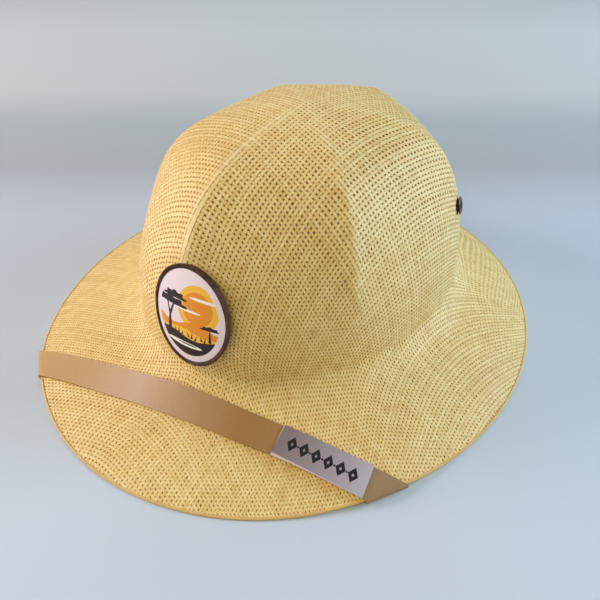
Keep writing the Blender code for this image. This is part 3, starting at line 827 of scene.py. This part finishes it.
def yarn_tree():
    """The tree that turns a mesh of strings into yarns of straw."""
    tree = bpy.data.node_groups.new("woven_yarns", "GeometryNodeTree")
    tree.interface.new_socket("Geometry", in_out="INPUT", socket_type="NodeSocketGeometry")
    for name, value in (
        ("Width", STRAW_YARN_WIDTH / math.cos(math.pi / RING_SIDES)),
        ("Thickness", STRAW_YARN_THICK),
        ("Depth", STRAW_YARN_DEPTH),
        ("Flare", STRAW_FLARE),
        ("Rise", STRAW_RISE),
    ):
        socket = tree.interface.new_socket(name, in_out="INPUT", socket_type="NodeSocketFloat")
        socket.default_value = value
    tree.interface.new_socket("Finish", in_out="INPUT", socket_type="NodeSocketMaterial")
    tree.interface.new_socket("Geometry", in_out="OUTPUT", socket_type="NodeSocketGeometry")
    link = tree.links.new
    source, sink = node(tree, "NodeGroupInput"), node(tree, "NodeGroupOutput")
    sweep = node(tree, "GeometryNodeCurveToMesh")
    sweep.inputs["Fill Caps"].default_value = True
    link(laid_curves(tree, source.outputs["Geometry"], source.outputs["Rise"]), sweep.inputs["Curve"])
    link(yarn_section(tree, source.outputs), sweep.inputs["Profile Curve"])
    link(point_value(tree, "fit"), sweep.inputs["Scale"])
    real = node(tree, "GeometryNodeRealizeInstances")
    link(smooth_but_crisp(tree, rested(tree, sweep.outputs["Mesh"])), real.inputs["Geometry"])
    finished = node(tree, "GeometryNodeSetMaterial")
    link(real.outputs["Geometry"], finished.inputs["Geometry"])
    link(source.outputs["Finish"], finished.inputs["Material"])
    link(finished.outputs["Geometry"], sink.inputs["Geometry"])
    return tree


woven = yarn_tree()
print("yarn tree:", len(woven.nodes), "nodes")

# %% [markdown]
# The tree grows on each of the four string meshes. The grown result is turned into a plain mesh
# and the modifier is removed, because the export reads plain meshes. Each piece then rides the
# hat's one body, carries the straw finish, and hides the shell solid that it stands for.

# %% The woven cloth


def grown(name, mesh, tree, settings):
    """An object from a mesh and a node tree, with the tree's result made a plain mesh."""
    obj = bpy.data.objects.new(name, mesh)
    bpy.context.scene.collection.objects.link(obj)
    modifier = obj.modifiers.new("grow", "NODES")
    modifier.node_group = tree
    for item in tree.interface.items_tree:
        if item.item_type == "SOCKET" and item.in_out == "INPUT" and item.name in settings:
            modifier[item.identifier] = settings[item.name]
    graph = bpy.context.evaluated_depsgraph_get()
    made = bpy.data.meshes.new_from_object(obj.evaluated_get(graph))
    made.name = name
    obj.modifiers.clear()
    obj.data = made
    return obj


def claim(obj, slot, *replaced):
    """Rides the root and hides the solids that it stands for. The slot it is given is not used."""
    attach(obj, "root")
    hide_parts(*replaced)
    return obj


for name, mesh in halves.items():
    obj = claim(grown(name, mesh, woven, {"Finish": straw}), "straw", "hat_shell")
    print(name, len(obj.data.polygons), "faces")

# %% [markdown]
# The edge: the cloth is turned in and pressed into a thin hem that hides the cut yarns. It is
# swept round the rim from one profile, drawn as (in from the rim, up from the cloth's middle). The
# part underneath is wider and lower, as a turned edge is, and rests flat on the table.

# %% Hem
HEM_BACK, HEM_OUT, HEM_HALF = 0.0013, 0.0002, 0.00050
HEM_TURNED_IN, HEM_UNDER = 0.0026, 0.0011
HEM_SWELL, HEM_STEPS = 1.05, 360
HEM_PROFILE = (
    (HEM_BACK, 0.0),
    (HEM_BACK, HEM_HALF),
    (HEM_BACK / 2, HEM_HALF * HEM_SWELL),
    (0.0, HEM_HALF),
    (-HEM_OUT, 0.0),
    (0.0, -HEM_UNDER),
    (HEM_TURNED_IN, -HEM_UNDER),
)
# the hem reads this as its height on a yarn's section, about half way between side and top, so
# its straw takes part of the yarns' painted side shade
HEM_PAINTED_SHADE_LEVEL = 0.295
JUST_INSIDE_RIM = 0.96


def unit(vectors):
    """The same directions, each of length 1."""
    return vectors / np.linalg.norm(vectors, axis=1, keepdims=True)


def hem_mesh():
    """The hem's profile swept round the rim, kept above the table."""
    work = bmesh.new()
    angle = np.arange(HEM_STEPS) * 2 * math.pi / HEM_STEPS
    rim = brim_points(angle, np.ones_like(angle))
    inward = unit(brim_points(angle, np.full_like(angle, JUST_INSIDE_RIM)) - rim)
    up = unit(np.cross(-inward, np.roll(rim, -1, 0) - np.roll(rim, 1, 0)))
    centre = rim - up * WALL / 2
    rings = []
    for k in range(HEM_STEPS):
        ring = [centre[k] + inward[k] * back + up[k] * rise for back, rise in HEM_PROFILE]
        rings.append([work.verts.new((x, y, max(z, 0))) for x, y, z in ring])
    for k in range(HEM_STEPS):
        a, b = rings[k - 1], rings[k]
        for n in range(len(HEM_PROFILE)):
            work.faces.new((a[n - 1], a[n], b[n], b[n - 1]))
    bmesh.ops.recalc_face_normals(work, faces=work.faces)
    mesh = bpy.data.meshes.new("edge_hem")
    work.to_mesh(mesh)
    work.free()
    mesh.shade_smooth()
    # the hem's straw is mixed part way towards the painted shade of the yarns' sides
    tone = np.full(len(mesh.vertices), HEM_PAINTED_SHADE_LEVEL)
    mesh.attributes.new("top", "FLOAT", "POINT").data.foreach_set("value", tone)
    return mesh


def plain_object(name, mesh, finish):
    """An object with one mesh and one finish."""
    obj = bpy.data.objects.new(name, mesh)
    bpy.context.scene.collection.objects.link(obj)
    mesh.materials.clear()
    mesh.materials.append(finish)
    return obj


hem = claim(plain_object("edge_hem", hem_mesh(), straw), "straw", "hat_shell")
print("hem", len(hem.data.polygons), "faces")

# %% [markdown]
# The tray of the badge and the vent eyelets keep the solids' own forms. A copy of each solid has
# its loose triangles merged, so that it can be shaded smooth between its sharp edges. Both are
# moulded or turned: a fine even skin, lighter in patches where it is handled.

# %% Rubber and metal
SHARP_EDGE = math.radians(40)
HANDLED_SCALE, SKIN_SCALE, ROUGHNESS_PLAY = 220.0, 1800.0, 0.1


def carried(name, finish, slot):
    """A finished copy of a solid."""
    source = nodes[name]
    work = bmesh.new()
    work.from_mesh(source.data)
    bmesh.ops.remove_doubles(work, verts=work.verts, dist=1e-6)
    work.transform(source.matrix_world)
    mesh = bpy.data.meshes.new(name + "_finished")
    work.to_mesh(mesh)
    work.free()
    mesh.shade_smooth()
    mesh.set_sharp_from_angle(angle=SHARP_EDGE)
    return claim(plain_object(name + "_finished", mesh, finish), slot, name)


def moulded(name, colour, worn, roughness, metallic=0.0):
    """A moulded or turned surface: a fine skin, with lighter patches where it is handled."""
    made, tree, shader = new_material(name)
    place = node(tree, "ShaderNodeTexCoord").outputs["Object"]
    patches = noise(tree, place, HANDLED_SCALE, 5.0)
    skin = noise(tree, place, SKIN_SCALE)
    tree.links.new(ramp(tree, patches, ((0.42, colour), (0.72, worn))), shader.inputs["Base Color"])
    dull = node(tree, "ShaderNodeMapRange")
    dull.inputs["To Min"].default_value = roughness - ROUGHNESS_PLAY
    dull.inputs["To Max"].default_value = roughness + ROUGHNESS_PLAY
    tree.links.new(skin, dull.inputs["Value"])
    tree.links.new(dull.outputs["Result"], shader.inputs["Roughness"])
    tree.links.new(bumped(tree, skin, 0.2), shader.inputs["Normal"])
    shader.inputs["Metallic"].default_value = metallic
    shader.inputs["Specular IOR Level"].default_value = 0.25
    return made


carried("badge_tray", moulded("brown_rubber", srgb(64, 37, 25), srgb(96, 62, 46), 0.55), "rubber")
for word in eyelets:
    dark = moulded(f"eyelet_metal_{word}", srgb(66, 54, 46), srgb(112, 98, 86), 0.38, 0.85)
    carried(f"vent_eyelet_{word}", dark, "eyelet_metal")
print("carried over the tray and", len(eyelets), "eyelets")

# %% [markdown]
# The strap and its label change their colour along their length, and that change is painted light:
# painted sheen and painted shade. Both read how far a point lies along and across the label's middle
# line, which is measured from the label's solid, so that the colours stay in place if a size changes.

# %% Places along the strap


def world_points(name):
    """A solid's points in the shared frame."""
    return np.array([nodes[name].matrix_world @ vertex.co for vertex in nodes[name].data.vertices])


label_middle = world_points("strap_label").mean(0)
label_plan = world_points("strap_label")[:, :2] - label_middle[:2]
label_axis = np.linalg.svd(label_plan, full_matrices=False)[2][0]
label_axis *= np.sign(label_axis[0])
LABEL_HALF, LABEL_HALF_ACROSS = float(np.abs(label_plan @ label_axis).max()), 0.0087


def strap_place(tree):
    """How far a point lies along the strap from the label's middle, and across it."""
    moved = node(tree, "ShaderNodeVectorMath", operation="SUBTRACT")
    moved.inputs[1].default_value = tuple(label_middle)
    tree.links.new(node(tree, "ShaderNodeTexCoord").outputs["Object"], moved.inputs[0])
    found = []
    for direction in ((*label_axis, 0), (-label_axis[1], label_axis[0], 0)):
        share = node(tree, "ShaderNodeVectorMath", operation="DOT_PRODUCT")
        share.inputs[1].default_value = direction
        tree.links.new(moved.outputs["Vector"], share.inputs[0])
        found.append(share.outputs["Value"])
    return found


def ramp_over(tree, along, rows):
    """A colour that changes along a run, from rows of a place and a linear colour."""
    near, far = rows[0][0], rows[-1][0]
    share = node(tree, "ShaderNodeMapRange")
    share.inputs["From Min"].default_value = near
    share.inputs["From Max"].default_value = far
    tree.links.new(along, share.inputs["Value"])
    stops = [((place - near) / (far - near), colour) for place, colour in rows]
    return ramp(tree, share.outputs["Result"], stops)


print(f"label reaches {1000 * LABEL_HALF:.1f} mm from its middle at {label_middle.round(4)}")

# %% [markdown]
# The strap is a smooth twill tape, painted greyer as sheen where it catches the sky and browner as
# painted shade beside the label.
# A twill's fine ribs run slantwise, so its threads are laid along the sum and the difference of
# the two places.

# %% Tape
# metres from the label's middle along the strap, then the tape's colour there, with painted sheen and
# shade
TAPE_PAINTED_LIGHT = (
    (-0.200, srgb(196, 152, 90)),
    (-0.150, srgb(198, 160, 108)),
    (-0.112, srgb(212, 178, 152)),
    (-0.080, srgb(190, 152, 110)),
    (-0.045, srgb(164, 119, 62)),
    (0.026, srgb(166, 134, 96)),
)
TWILL_STRETCH, RIB_FROM, RIB_SHARE = (250.0, 2400.0, 1.0), 0.56, 0.10


def tape_material():
    """Twill tape with painted sheen and shade along the strap, and fine slanting ribs."""
    made, tree, shader = new_material("twill_tape")
    along, across = strap_place(tree)
    slant = joined_xyz(tree, maths(tree, "ADD", along, across), maths(tree, "SUBTRACT", along, across))
    fibre = fibre_mask(tree, slant, TWILL_STRETCH)
    darker = maths(tree, "MULTIPLY", maths(tree, "GREATER_THAN", fibre, RIB_FROM), RIB_SHARE)
    # the ramp along the strap is painted sheen and painted shade; the darker ribs are the twill's own
    colour = mixed_colour(tree, darker, ramp_over(tree, along, TAPE_PAINTED_LIGHT), srgb(110, 80, 46))
    tree.links.new(colour, shader.inputs["Base Color"])
    tree.links.new(bumped(tree, fibre, 0.35), shader.inputs["Normal"])
    shader.inputs["Roughness"].default_value = 0.6
    shader.inputs["Specular IOR Level"].default_value = 0.3
    return made


strap = carried("chin_strap", tape_material(), "tape")
print("strap", len(strap.data.polygons), "faces")

# %% [markdown]
# The label is satin, with a painted sheen that brightens towards the rim and a painted highlight
# along its turned end and lower edge. Its print is a row of lozenges with dots between them. A
# repeating pattern needs no drawing: the place along the label is folded into one repeat, and a sum
# of two distances under 1 is a lozenge.

# %% Label
# share of the label's length, then the satin's colour with its painted sheen there
SATIN_PAINTED_SHEEN = (
    (0.00, srgb(120, 102, 98)),
    (0.40, srgb(147, 131, 131)),
    (0.75, srgb(171, 158, 165)),
    (1.00, srgb(188, 179, 184)),
)
SATIN_STRETCH, SHEEN_SHARE = (3800.0, 300.0, 1.0), 0.12
END_HIGHLIGHT_WIDTH, LOWER_EDGE_HIGHLIGHT_WIDTH = 0.0006, 0.0005
MOTIF_PITCH, MOTIF_HALF_RUN = 0.0068, 0.0196
LOZENGE_HALF, LOZENGE_HALF_HIGH, LOZENGE_HOLLOW, DOT = 0.0028, 0.0042, 0.26, 0.0007


def motif(tree, along, across):
    """1 where the label is inked: a row of hollow lozenges with dots between them."""
    beat = maths(tree, "FRACT", maths(tree, "DIVIDE", along, MOTIF_PITCH))
    from_middle = maths(tree, "ABSOLUTE", maths(tree, "SUBTRACT", beat, 0.5))
    away = maths(tree, "MULTIPLY", from_middle, MOTIF_PITCH)
    height = maths(tree, "ABSOLUTE", across)
    reach_along = maths(tree, "DIVIDE", away, LOZENGE_HALF)
    reach = maths(tree, "ADD", reach_along, maths(tree, "DIVIDE", height, LOZENGE_HALF_HIGH))
    filled = maths(tree, "LESS_THAN", reach, 1.0)
    hollow = maths(tree, "GREATER_THAN", reach, LOZENGE_HOLLOW)
    gap = maths(tree, "SUBTRACT", MOTIF_PITCH / 2, away)
    dot = maths(tree, "LESS_THAN", maths(tree, "ADD", gap, height), DOT)
    drawn = maths(tree, "MAXIMUM", maths(tree, "MULTIPLY", filled, hollow), dot)
    inside = maths(tree, "LESS_THAN", maths(tree, "ABSOLUTE", along), MOTIF_HALF_RUN)
    return maths(tree, "MULTIPLY", drawn, inside)


def satin_material():
    """Satin with painted sheen to the rim, a painted highlight on its turned edge, and the printed row."""
    made, tree, shader = new_material("satin")
    along, across = strap_place(tree)
    fibre = fibre_mask(tree, joined_xyz(tree, along, across), SATIN_STRETCH)
    # painted sheen: the satin brightens along the label towards the rim, and pales on its fibres
    rows = [((2 * share - 1) * LABEL_HALF, colour) for share, colour in SATIN_PAINTED_SHEEN]
    sheen = maths(tree, "MULTIPLY", fibre, SHEEN_SHARE)
    colour = mixed_colour(tree, sheen, ramp_over(tree, along, rows), srgb(236, 232, 240))
    # painted highlight along the label's turned end and lower edge
    end = maths(tree, "LESS_THAN", along, -LABEL_HALF + END_HIGHLIGHT_WIDTH)
    lower = maths(tree, "LESS_THAN", across, -LABEL_HALF_ACROSS + LOWER_EDGE_HIGHLIGHT_WIDTH)
    colour = mixed_colour(tree, maths(tree, "MAXIMUM", end, lower), colour, srgb(214, 186, 180))
    colour = mixed_colour(tree, motif(tree, along, across), colour, srgb(30, 24, 24))
    tree.links.new(colour, shader.inputs["Base Color"])
    tree.links.new(bumped(tree, fibre, 0.25), shader.inputs["Normal"])
    shader.inputs["Roughness"].default_value = 0.4
    return made


label = carried("strap_label", satin_material(), "satin")
print("label", len(label.data.polygons), "faces")

# %% [markdown]
# The badge's print: a low sun behind an acacia on open grassland. Each shape is a flat outline in
# millimetres from the badge's middle, made from an oval, a canopy of leaves, a blade of grass or a
# rolling line. A list gives each its ink, and later shapes lie over earlier ones.

# %% Shapes of the print
INKS = {
    "pale": srgb(240, 222, 228),
    "yellow": srgb(250, 190, 62),
    "orange": srgb(236, 148, 34),
    "cream": srgb(252, 245, 236),
    "black": srgb(34, 20, 14),
}
PRINT_SIDE, PRINT_BOTTOM = 21, -30
LEAF_STEPS, LEAF_BUMPS, BUMP_HEIGHT = 26, 9, 0.13
SHORE_STEPS, SHORE_WAVE = 60, 4.1
GRASS_LEVEL, GRASS_UNEVEN = -11.6, 0.4


def oval(x, y, half_width, half_height, steps=40):
    """An oval round a middle."""
    run = np.radians(np.linspace(0, 360, steps, endpoint=False))
    return list(zip(x + half_width * np.cos(run), y + half_height * np.sin(run)))


def canopy(x, y, half_width, height):
    """A flat-bottomed, bumpy crown of leaves."""
    run = np.linspace(0, math.pi, LEAF_STEPS)
    bumps = 1 + BUMP_HEIGHT * np.sin(run * LEAF_BUMPS)
    return list(zip(x + half_width * np.cos(run) * bumps, y + height * np.sin(run) * bumps))


def grass(x, y, lean, height, half_width=0.55):
    """One blade, leaning to a side."""
    return [(x - half_width, y), (x + half_width, y), (x + lean, y + height)]


def shore(level, swell, phase):
    """A rolling line across the badge, closed below it."""
    across = np.linspace(PRINT_SIDE, -PRINT_SIDE, SHORE_STEPS)
    line = zip(across, level + swell * np.sin(across / SHORE_WAVE + phase))
    return [*line, (-PRINT_SIDE, PRINT_BOTTOM), (PRINT_SIDE, PRINT_BOTTOM)]


SKY_AND_LAND = [
    ("yellow", oval(5.5, 3.0, 10.2, 10.2, 56)),
    ("orange", oval(5.5, 3.0, 7.4, 7.4, 48)),
    ("cream", oval(9.0, 7.4, 7.6, 0.65)),
    ("cream", oval(1.0, 1.2, 6.4, 0.55)),
    ("orange", shore(-5.2, 1.5, 0.4)),
    ("yellow", shore(-8.6, 0.9, 2.0)),
    ("black", shore(-11.2, 1.0, 3.6)),
    ("cream", oval(-1.5, -15.4, 9.5, 1.1)),
    ("black", oval(0.6, -15.1, 5.0, 0.34)),
]
FORKED_TRUNK = [
    (-10.6, -11.4), (-8.2, -11.4), (-8.6, -4.0), (-6.6, 1.6), (-7.6, 1.6),
    (-9.3, -2.2), (-10.6, 2.2), (-11.5, 2.2), (-9.9, -4.0),
]
FAR_TRUNK = [(11.2, -10.8), (12.6, -10.8), (12.1, -4.4), (11.7, -4.4)]
TREES = [
    ("black", FORKED_TRUNK),
    ("black", canopy(-9.4, 1.4, 9.2, 3.4)),
    ("black", canopy(-6.8, 4.6, 6.4, 3.0)),
    ("black", FAR_TRUNK),
    ("black", canopy(11.9, -5.0, 4.4, 1.9)),
]
# place across, lean and height of each blade
BLADES = (
    (-17, -0.8, 2.6), (-15.6, 0.5, 3.3), (-13.6, 0.9, 2.4), (-5.6, -0.7, 3.0), (-4.2, 0.6, 3.8),
    (-2.6, 1.0, 2.8), (1.5, -0.9, 2.6), (3.0, 0.3, 3.6), (4.6, 1.2, 3.0), (8.0, -0.5, 2.5),
    (9.3, 0.7, 3.1), (15.2, 0.6, 2.6), (16.6, -0.4, 2.0),
)
GRASS = [
    ("black", grass(x, GRASS_LEVEL + GRASS_UNEVEN * math.sin(x), lean, height))
    for x, lean, height in BLADES
]
PRINT = SKY_AND_LAND + TREES + GRASS
print(len(PRINT), "shapes in", len(INKS), "inks")

# %% [markdown]
# The badge is curved to the crown: bent across it, and bowed a little from top to bottom. Its
# frame has an origin and three axes: across, up and out. The solid says where the face stands
# furthest out, and a flat outline is bent by the two radii from there.

# %% The badge's own frame
BADGE_TILT, BADGE_ANGLE, BADGE_LEAN = math.radians(13.5), math.radians(4), math.radians(3)
BADGE_BEND, BADGE_BOW, FIELD_TOP, FIELD_BACK = 0.070, 0.140, 0.0022, 0.0016


def badge_frame():
    """Origin and axes of the badge, from where the solid's face stands furthest out."""
    flat = np.array([math.sin(BADGE_ANGLE), -math.cos(BADGE_ANGLE), 0])
    facing = flat * math.cos(BADGE_TILT) + np.array([0, 0, math.sin(BADGE_TILT)])
    side = np.cross([0, 0, 1], facing)
    side /= np.linalg.norm(side)
    up = np.cross(facing, side)
    across = side * math.cos(BADGE_LEAN) + up * math.sin(BADGE_LEAN)
    points = world_points("badge_field")
    furthest = points[(points @ facing).argmax()]
    return furthest - facing * FIELD_TOP, np.stack([across, np.cross(facing, across), facing])


badge_origin, badge_axes = badge_frame()


def on_badge(x, y, level):
    """A place of the flat badge, in metres, bent and put where it belongs."""
    turn, nod = x / BADGE_BEND, y / BADGE_BOW
    forward = (BADGE_BEND + level) * math.cos(turn) - BADGE_BEND
    bent = np.array([
        (BADGE_BEND + level) * math.sin(turn),
        (BADGE_BOW + forward) * math.sin(nod),
        (BADGE_BOW + forward) * math.cos(nod) - BADGE_BOW,
    ])
    return badge_origin + bent @ badge_axes


print("badge's middle at", on_badge(0, 0, FIELD_TOP).round(4))

# %% [markdown]
# The inks could be painted in a picture, but its pixels would blur the edges. Here one
# triangulation takes all outlines at once and keeps every one of them as an edge. It also tells
# which outlines cover each triangle, and the last one that does gives the ink. Even spots between
# them keep the triangles small, so that the sheet can bend.

# %% Triangles of the print
FIELD_HALF_WIDTH, FIELD_HALF_HEIGHT = 0.0227, 0.0257
# how much of the field the picture fills, and how it is enlarged and lifted to fill it
PRINT_SHARE, PRINT_SCALE, PRINT_LIFT = 0.86, 1.22, 3.0
PRINT_CELL, ROWS_APART, SPOTS_WITHIN = 0.0011, 0.866, 0.97
SPOT_COLUMNS, SPOT_ROWS, RIM_STEPS, WINDOW_STEPS = 22, 28, 96, 80
# the triangulation numbers the outlines: the field's rim, the picture's window, then the shapes
RIM, WINDOW, FIRST_SHAPE = 0, 1, 2
TRIANGLES_INSIDE, TOUCHING = 1, 1e-5


def even_spots(wide, high):
    """Spots over the field in millimetres, every other row set off by half a cell."""
    cell = PRINT_CELL * 1000
    return [
        (x * cell + (y % 2) * cell / 2, y * cell * ROWS_APART)
        for y in range(-SPOT_ROWS, SPOT_ROWS + 1)
        for x in range(-SPOT_COLUMNS, SPOT_COLUMNS + 1)
        if math.hypot(x * cell / wide, y * cell * ROWS_APART / high) < SPOTS_WITHIN
    ]


def inked_triangles():
    """The flat points of the field in millimetres, its triangles, and the ink of each."""
    wide, high = FIELD_HALF_WIDTH * 1000, FIELD_HALF_HEIGHT * 1000
    outlines = [
        oval(0, 0, wide, high, RIM_STEPS),
        oval(0, 0, wide * PRINT_SHARE, high * PRINT_SHARE, WINDOW_STEPS),
    ]
    for _, outline in PRINT:
        outlines.append([(x * PRINT_SCALE, y * PRINT_SCALE + PRINT_LIFT) for x, y in outline])
    points, shapes = even_spots(wide, high), []
    for outline in outlines:
        shapes.append(list(range(len(points), len(points) + len(outline))))
        points += outline
    flat, _, made, _, _, cover = delaunay_2d_cdt(
        [Vector(point) for point in points], [], shapes, TRIANGLES_INSIDE, TOUCHING
    )
    triangles, inks = [], []
    for triangle, over in zip(made, cover):
        if RIM not in over:
            continue
        shown = [PRINT[index - FIRST_SHAPE][0] for index in sorted(over) if index >= FIRST_SHAPE]
        inks.append(shown[-1] if WINDOW in over and shown else "pale")
        triangles.append(triangle)
    return flat, triangles, inks


flat_points, flat_triangles, top_inks = inked_triangles()
print(len(flat_triangles), "triangles on the print's face")

# %% [markdown]
# A bare sheet has no thickness, and its back would show through in some programs. So the picture
# is the top of a thin closed plate: the same triangles lie again at its back, turned over, and a
# wall joins the two. The wall stands on each side of a triangle that no second triangle shares.

# %% The printed plate


def badge_print():
    """The field as one closed plate, whose top carries the inks as a colour for each face."""
    used = sorted({corner for triangle in flat_triangles for corner in triangle})
    place = {old: new for new, old in enumerate(used)}
    points = [
        on_badge(flat_points[k].x / 1000, flat_points[k].y / 1000, level)
        for level in (FIELD_TOP, FIELD_BACK)
        for k in used
    ]
    top = [tuple(place[k] for k in triangle) for triangle in flat_triangles]
    sides = {(a, b) for triangle in top for a, b in zip(triangle, triangle[1:] + triangle[:1])}
    edge = sorted((a, b) for a, b in sides if (b, a) not in sides)
    count = len(used)
    back = [tuple(k + count for k in reversed(triangle)) for triangle in top]
    wall = [(b, a, a + count, b + count) for a, b in edge]
    mesh = bpy.data.meshes.new("badge_print")
    mesh.from_pydata([tuple(point) for point in points], [], top + back + wall)
    inks = top_inks + ["pale"] * (len(back) + len(wall))
    colours = mesh.attributes.new("ink", "FLOAT_COLOR", "CORNER")
    for polygon, ink in zip(mesh.polygons, inks):
        for corner in polygon.loop_indices:
            colours.data[corner].color = (*INKS[ink], 1)
    mesh.shade_smooth()
    mesh.set_sharp_from_angle(angle=SHARP_EDGE)
    return mesh


plate = badge_print()
print("plate of the print:", len(plate.polygons), "faces")

# %% [markdown]
# The finish only reads the ink that is kept on the plate's faces. Over it lie faint specks, which
# also roughen the skin a little, because a moulded and printed face is never quite even.

# %% Print finish
SPECK_SCALE, SPECK_SHARE = 900.0, 0.05


def print_material():
    """The inks as they are kept on the plate, under faint specks."""
    made, tree, shader = new_material("badge_print")
    ink = node(tree, "ShaderNodeAttribute", attribute_name="ink").outputs["Color"]
    specks = noise(tree, node(tree, "ShaderNodeTexCoord").outputs["Object"], SPECK_SCALE, 4.0)
    faint = maths(tree, "MULTIPLY", specks, SPECK_SHARE)
    tree.links.new(mixed_colour(tree, faint, ink, srgb(206, 180, 190)), shader.inputs["Base Color"])
    tree.links.new(bumped(tree, specks, 0.12), shader.inputs["Normal"])
    shader.inputs["Roughness"].default_value = 0.42
    shader.inputs["Specular IOR Level"].default_value = 0.25
    return made


face_plate = plain_object("badge_print", plate, print_material())
claim(face_plate, "badge_field", "badge_field")
print("print finish:", len(face_plate.active_material.node_tree.nodes), "nodes")

# %% [markdown]
# The camera looks at a point low on the crown, from a third of a metre away and half way up. Where
# it stands is said as a photographer would: how far round from the front, how high, how far off.
# The lamps are placed round the same point later, so both share one helper.

# %% Camera
AIM = Vector((0.0465, -0.0500, 0.0610))
AZIMUTH, ELEVATION, DISTANCE = math.radians(38.62), math.radians(39.47), 0.336
FOCAL_PIXELS, FRAME_PIXELS, SENSOR, NEAREST_SEEN = 621.8, 600, 36.0, 0.01


def direction(turn, rise):
    """The direction that is so far round from the front, and so high."""
    return Vector((math.sin(turn) * math.cos(rise), -math.cos(turn) * math.cos(rise), math.sin(rise)))


def stood(name, data, towards, distance):
    """A camera or lamp that stands in a direction from the aim, and looks back at it."""
    made = bpy.data.objects.new(name, data)
    made.location = AIM + towards * distance
    made.rotation_euler = towards.to_track_quat("Z", "Y").to_euler()
    bpy.context.scene.collection.objects.link(made)
    return made


lens = bpy.data.cameras.new("camera")
lens.sensor_width = SENSOR
lens.lens = FOCAL_PIXELS / FRAME_PIXELS * SENSOR
lens.clip_start = NEAREST_SEEN
bpy.context.scene.camera = stood("camera", lens, direction(AZIMUTH, ELEVATION), DISTANCE)
print(f"camera with a lens of {lens.lens:.1f} mm")

# %% [markdown]
# The hat lies on a pale blue-grey backdrop, whose bend behind it takes less light. A bent sheet
# would need lamps of its own, so here the floor is flat and its colour has the darker stretches.
# They lie at fixed places of the floor, so they don't move with the view.

# %% Floor
FLOOR_HALF, FLOOR_TONE = 6.0, srgb(214, 223, 234)
# metres over the ground from the photo's viewpoint, then shares of the tone's red, green and blue
SWEEP = (
    (0.30, 0.90, 0.90, 0.90),
    (0.44, 0.79, 0.77, 0.77),
    (0.53, 0.62, 0.58, 0.525),
    (0.63, 0.65, 0.63, 0.555),
    (0.72, 0.89, 0.81, 0.68),
    (0.95, 0.99, 0.91, 0.77),
)


def floor():
    """The backdrop as one flat sheet, darker where its bend takes less light."""
    mesh = bpy.data.meshes.new("floor")
    corners = [(x * FLOOR_HALF, y * FLOOR_HALF, 0) for x, y in ((-1, -1), (1, -1), (1, 1), (-1, 1))]
    mesh.from_pydata(corners, [], [(0, 1, 2, 3)])
    made, tree, shader = new_material("floor")
    away = node(tree, "ShaderNodeVectorMath", operation="DOT_PRODUCT")
    away.inputs[1].default_value = (-math.sin(AZIMUTH), math.cos(AZIMUTH), 0)
    tree.links.new(node(tree, "ShaderNodeTexCoord").outputs["Object"], away.inputs[0])
    viewpoint = AIM + direction(AZIMUTH, ELEVATION) * DISTANCE
    ground = math.hypot(viewpoint.x, viewpoint.y)
    rows = [
        (place - ground, tuple(share * tone for share, tone in zip(shares, FLOOR_TONE)))
        for place, *shares in SWEEP
    ]
    tree.links.new(ramp_over(tree, away.outputs["Value"], rows), shader.inputs["Base Color"])
    shader.inputs["Roughness"].default_value = 0.8
    return plain_object("floor", mesh, made)


floor()
print(f"floor {2 * FLOOR_HALF:.0f} m square")

# %% [markdown]
# Large lamps give soft light. Two broad ones stand low at the sides and draw the panels. A weaker
# pair high in front fills the middle panel, so that the badge throws no shadow beside it, and two
# more light the hat from above and behind. Most of them are tinted cool, as daylight is, and the
# one high in front is warm, which keeps the straw golden.

# %% Lamps
LAMP_DISTANCE = 1.4
# degrees round from the camera to its right, degrees up, metres across, watts, tint
LAMPS = {
    "left_softbox": (-100, 22, 0.8, 16.2, (0.98, 0.91, 0.97)),
    "front_left": (-25, 45, 0.9, 5.0, (0.84, 0.86, 1.00)),
    "front_high": (0, 50, 0.9, 4.8, (1.00, 0.82, 0.03)),
    "right_softbox": (100, 20, 0.8, 21.6, (0.54, 0.74, 1.00)),
    "top_softbox": (180, 85, 0.9, 1.4, (0.54, 0.54, 1.00)),
    "rear_softbox": (180, 35, 0.9, 4.0, (0.82, 0.94, 1.00)),
}
GLOW, GLOW_STRENGTH = srgb(206, 214, 228), 0.01


def lamp(name, azimuth, elevation, size, power, tint):
    """A square soft lamp, placed from the camera's side."""
    data = bpy.data.lights.new(name, "AREA")
    data.shape = "SQUARE"
    data.size = size
    data.energy = power
    data.color = tint
    towards = direction(AZIMUTH + math.radians(azimuth), math.radians(elevation))
    return stood(name, data, towards, LAMP_DISTANCE)


for name, settings in LAMPS.items():
    lamp(name, *settings)
world = bpy.data.worlds.new("studio")
world.use_nodes = True
glow = world.node_tree.nodes["Background"]
glow.inputs["Color"].default_value = (*GLOW, 1)
glow.inputs["Strength"].default_value = GLOW_STRENGTH
bpy.context.scene.world = world
bpy.context.scene.view_settings.view_transform = "Standard"
print(len(LAMPS), "lamps")
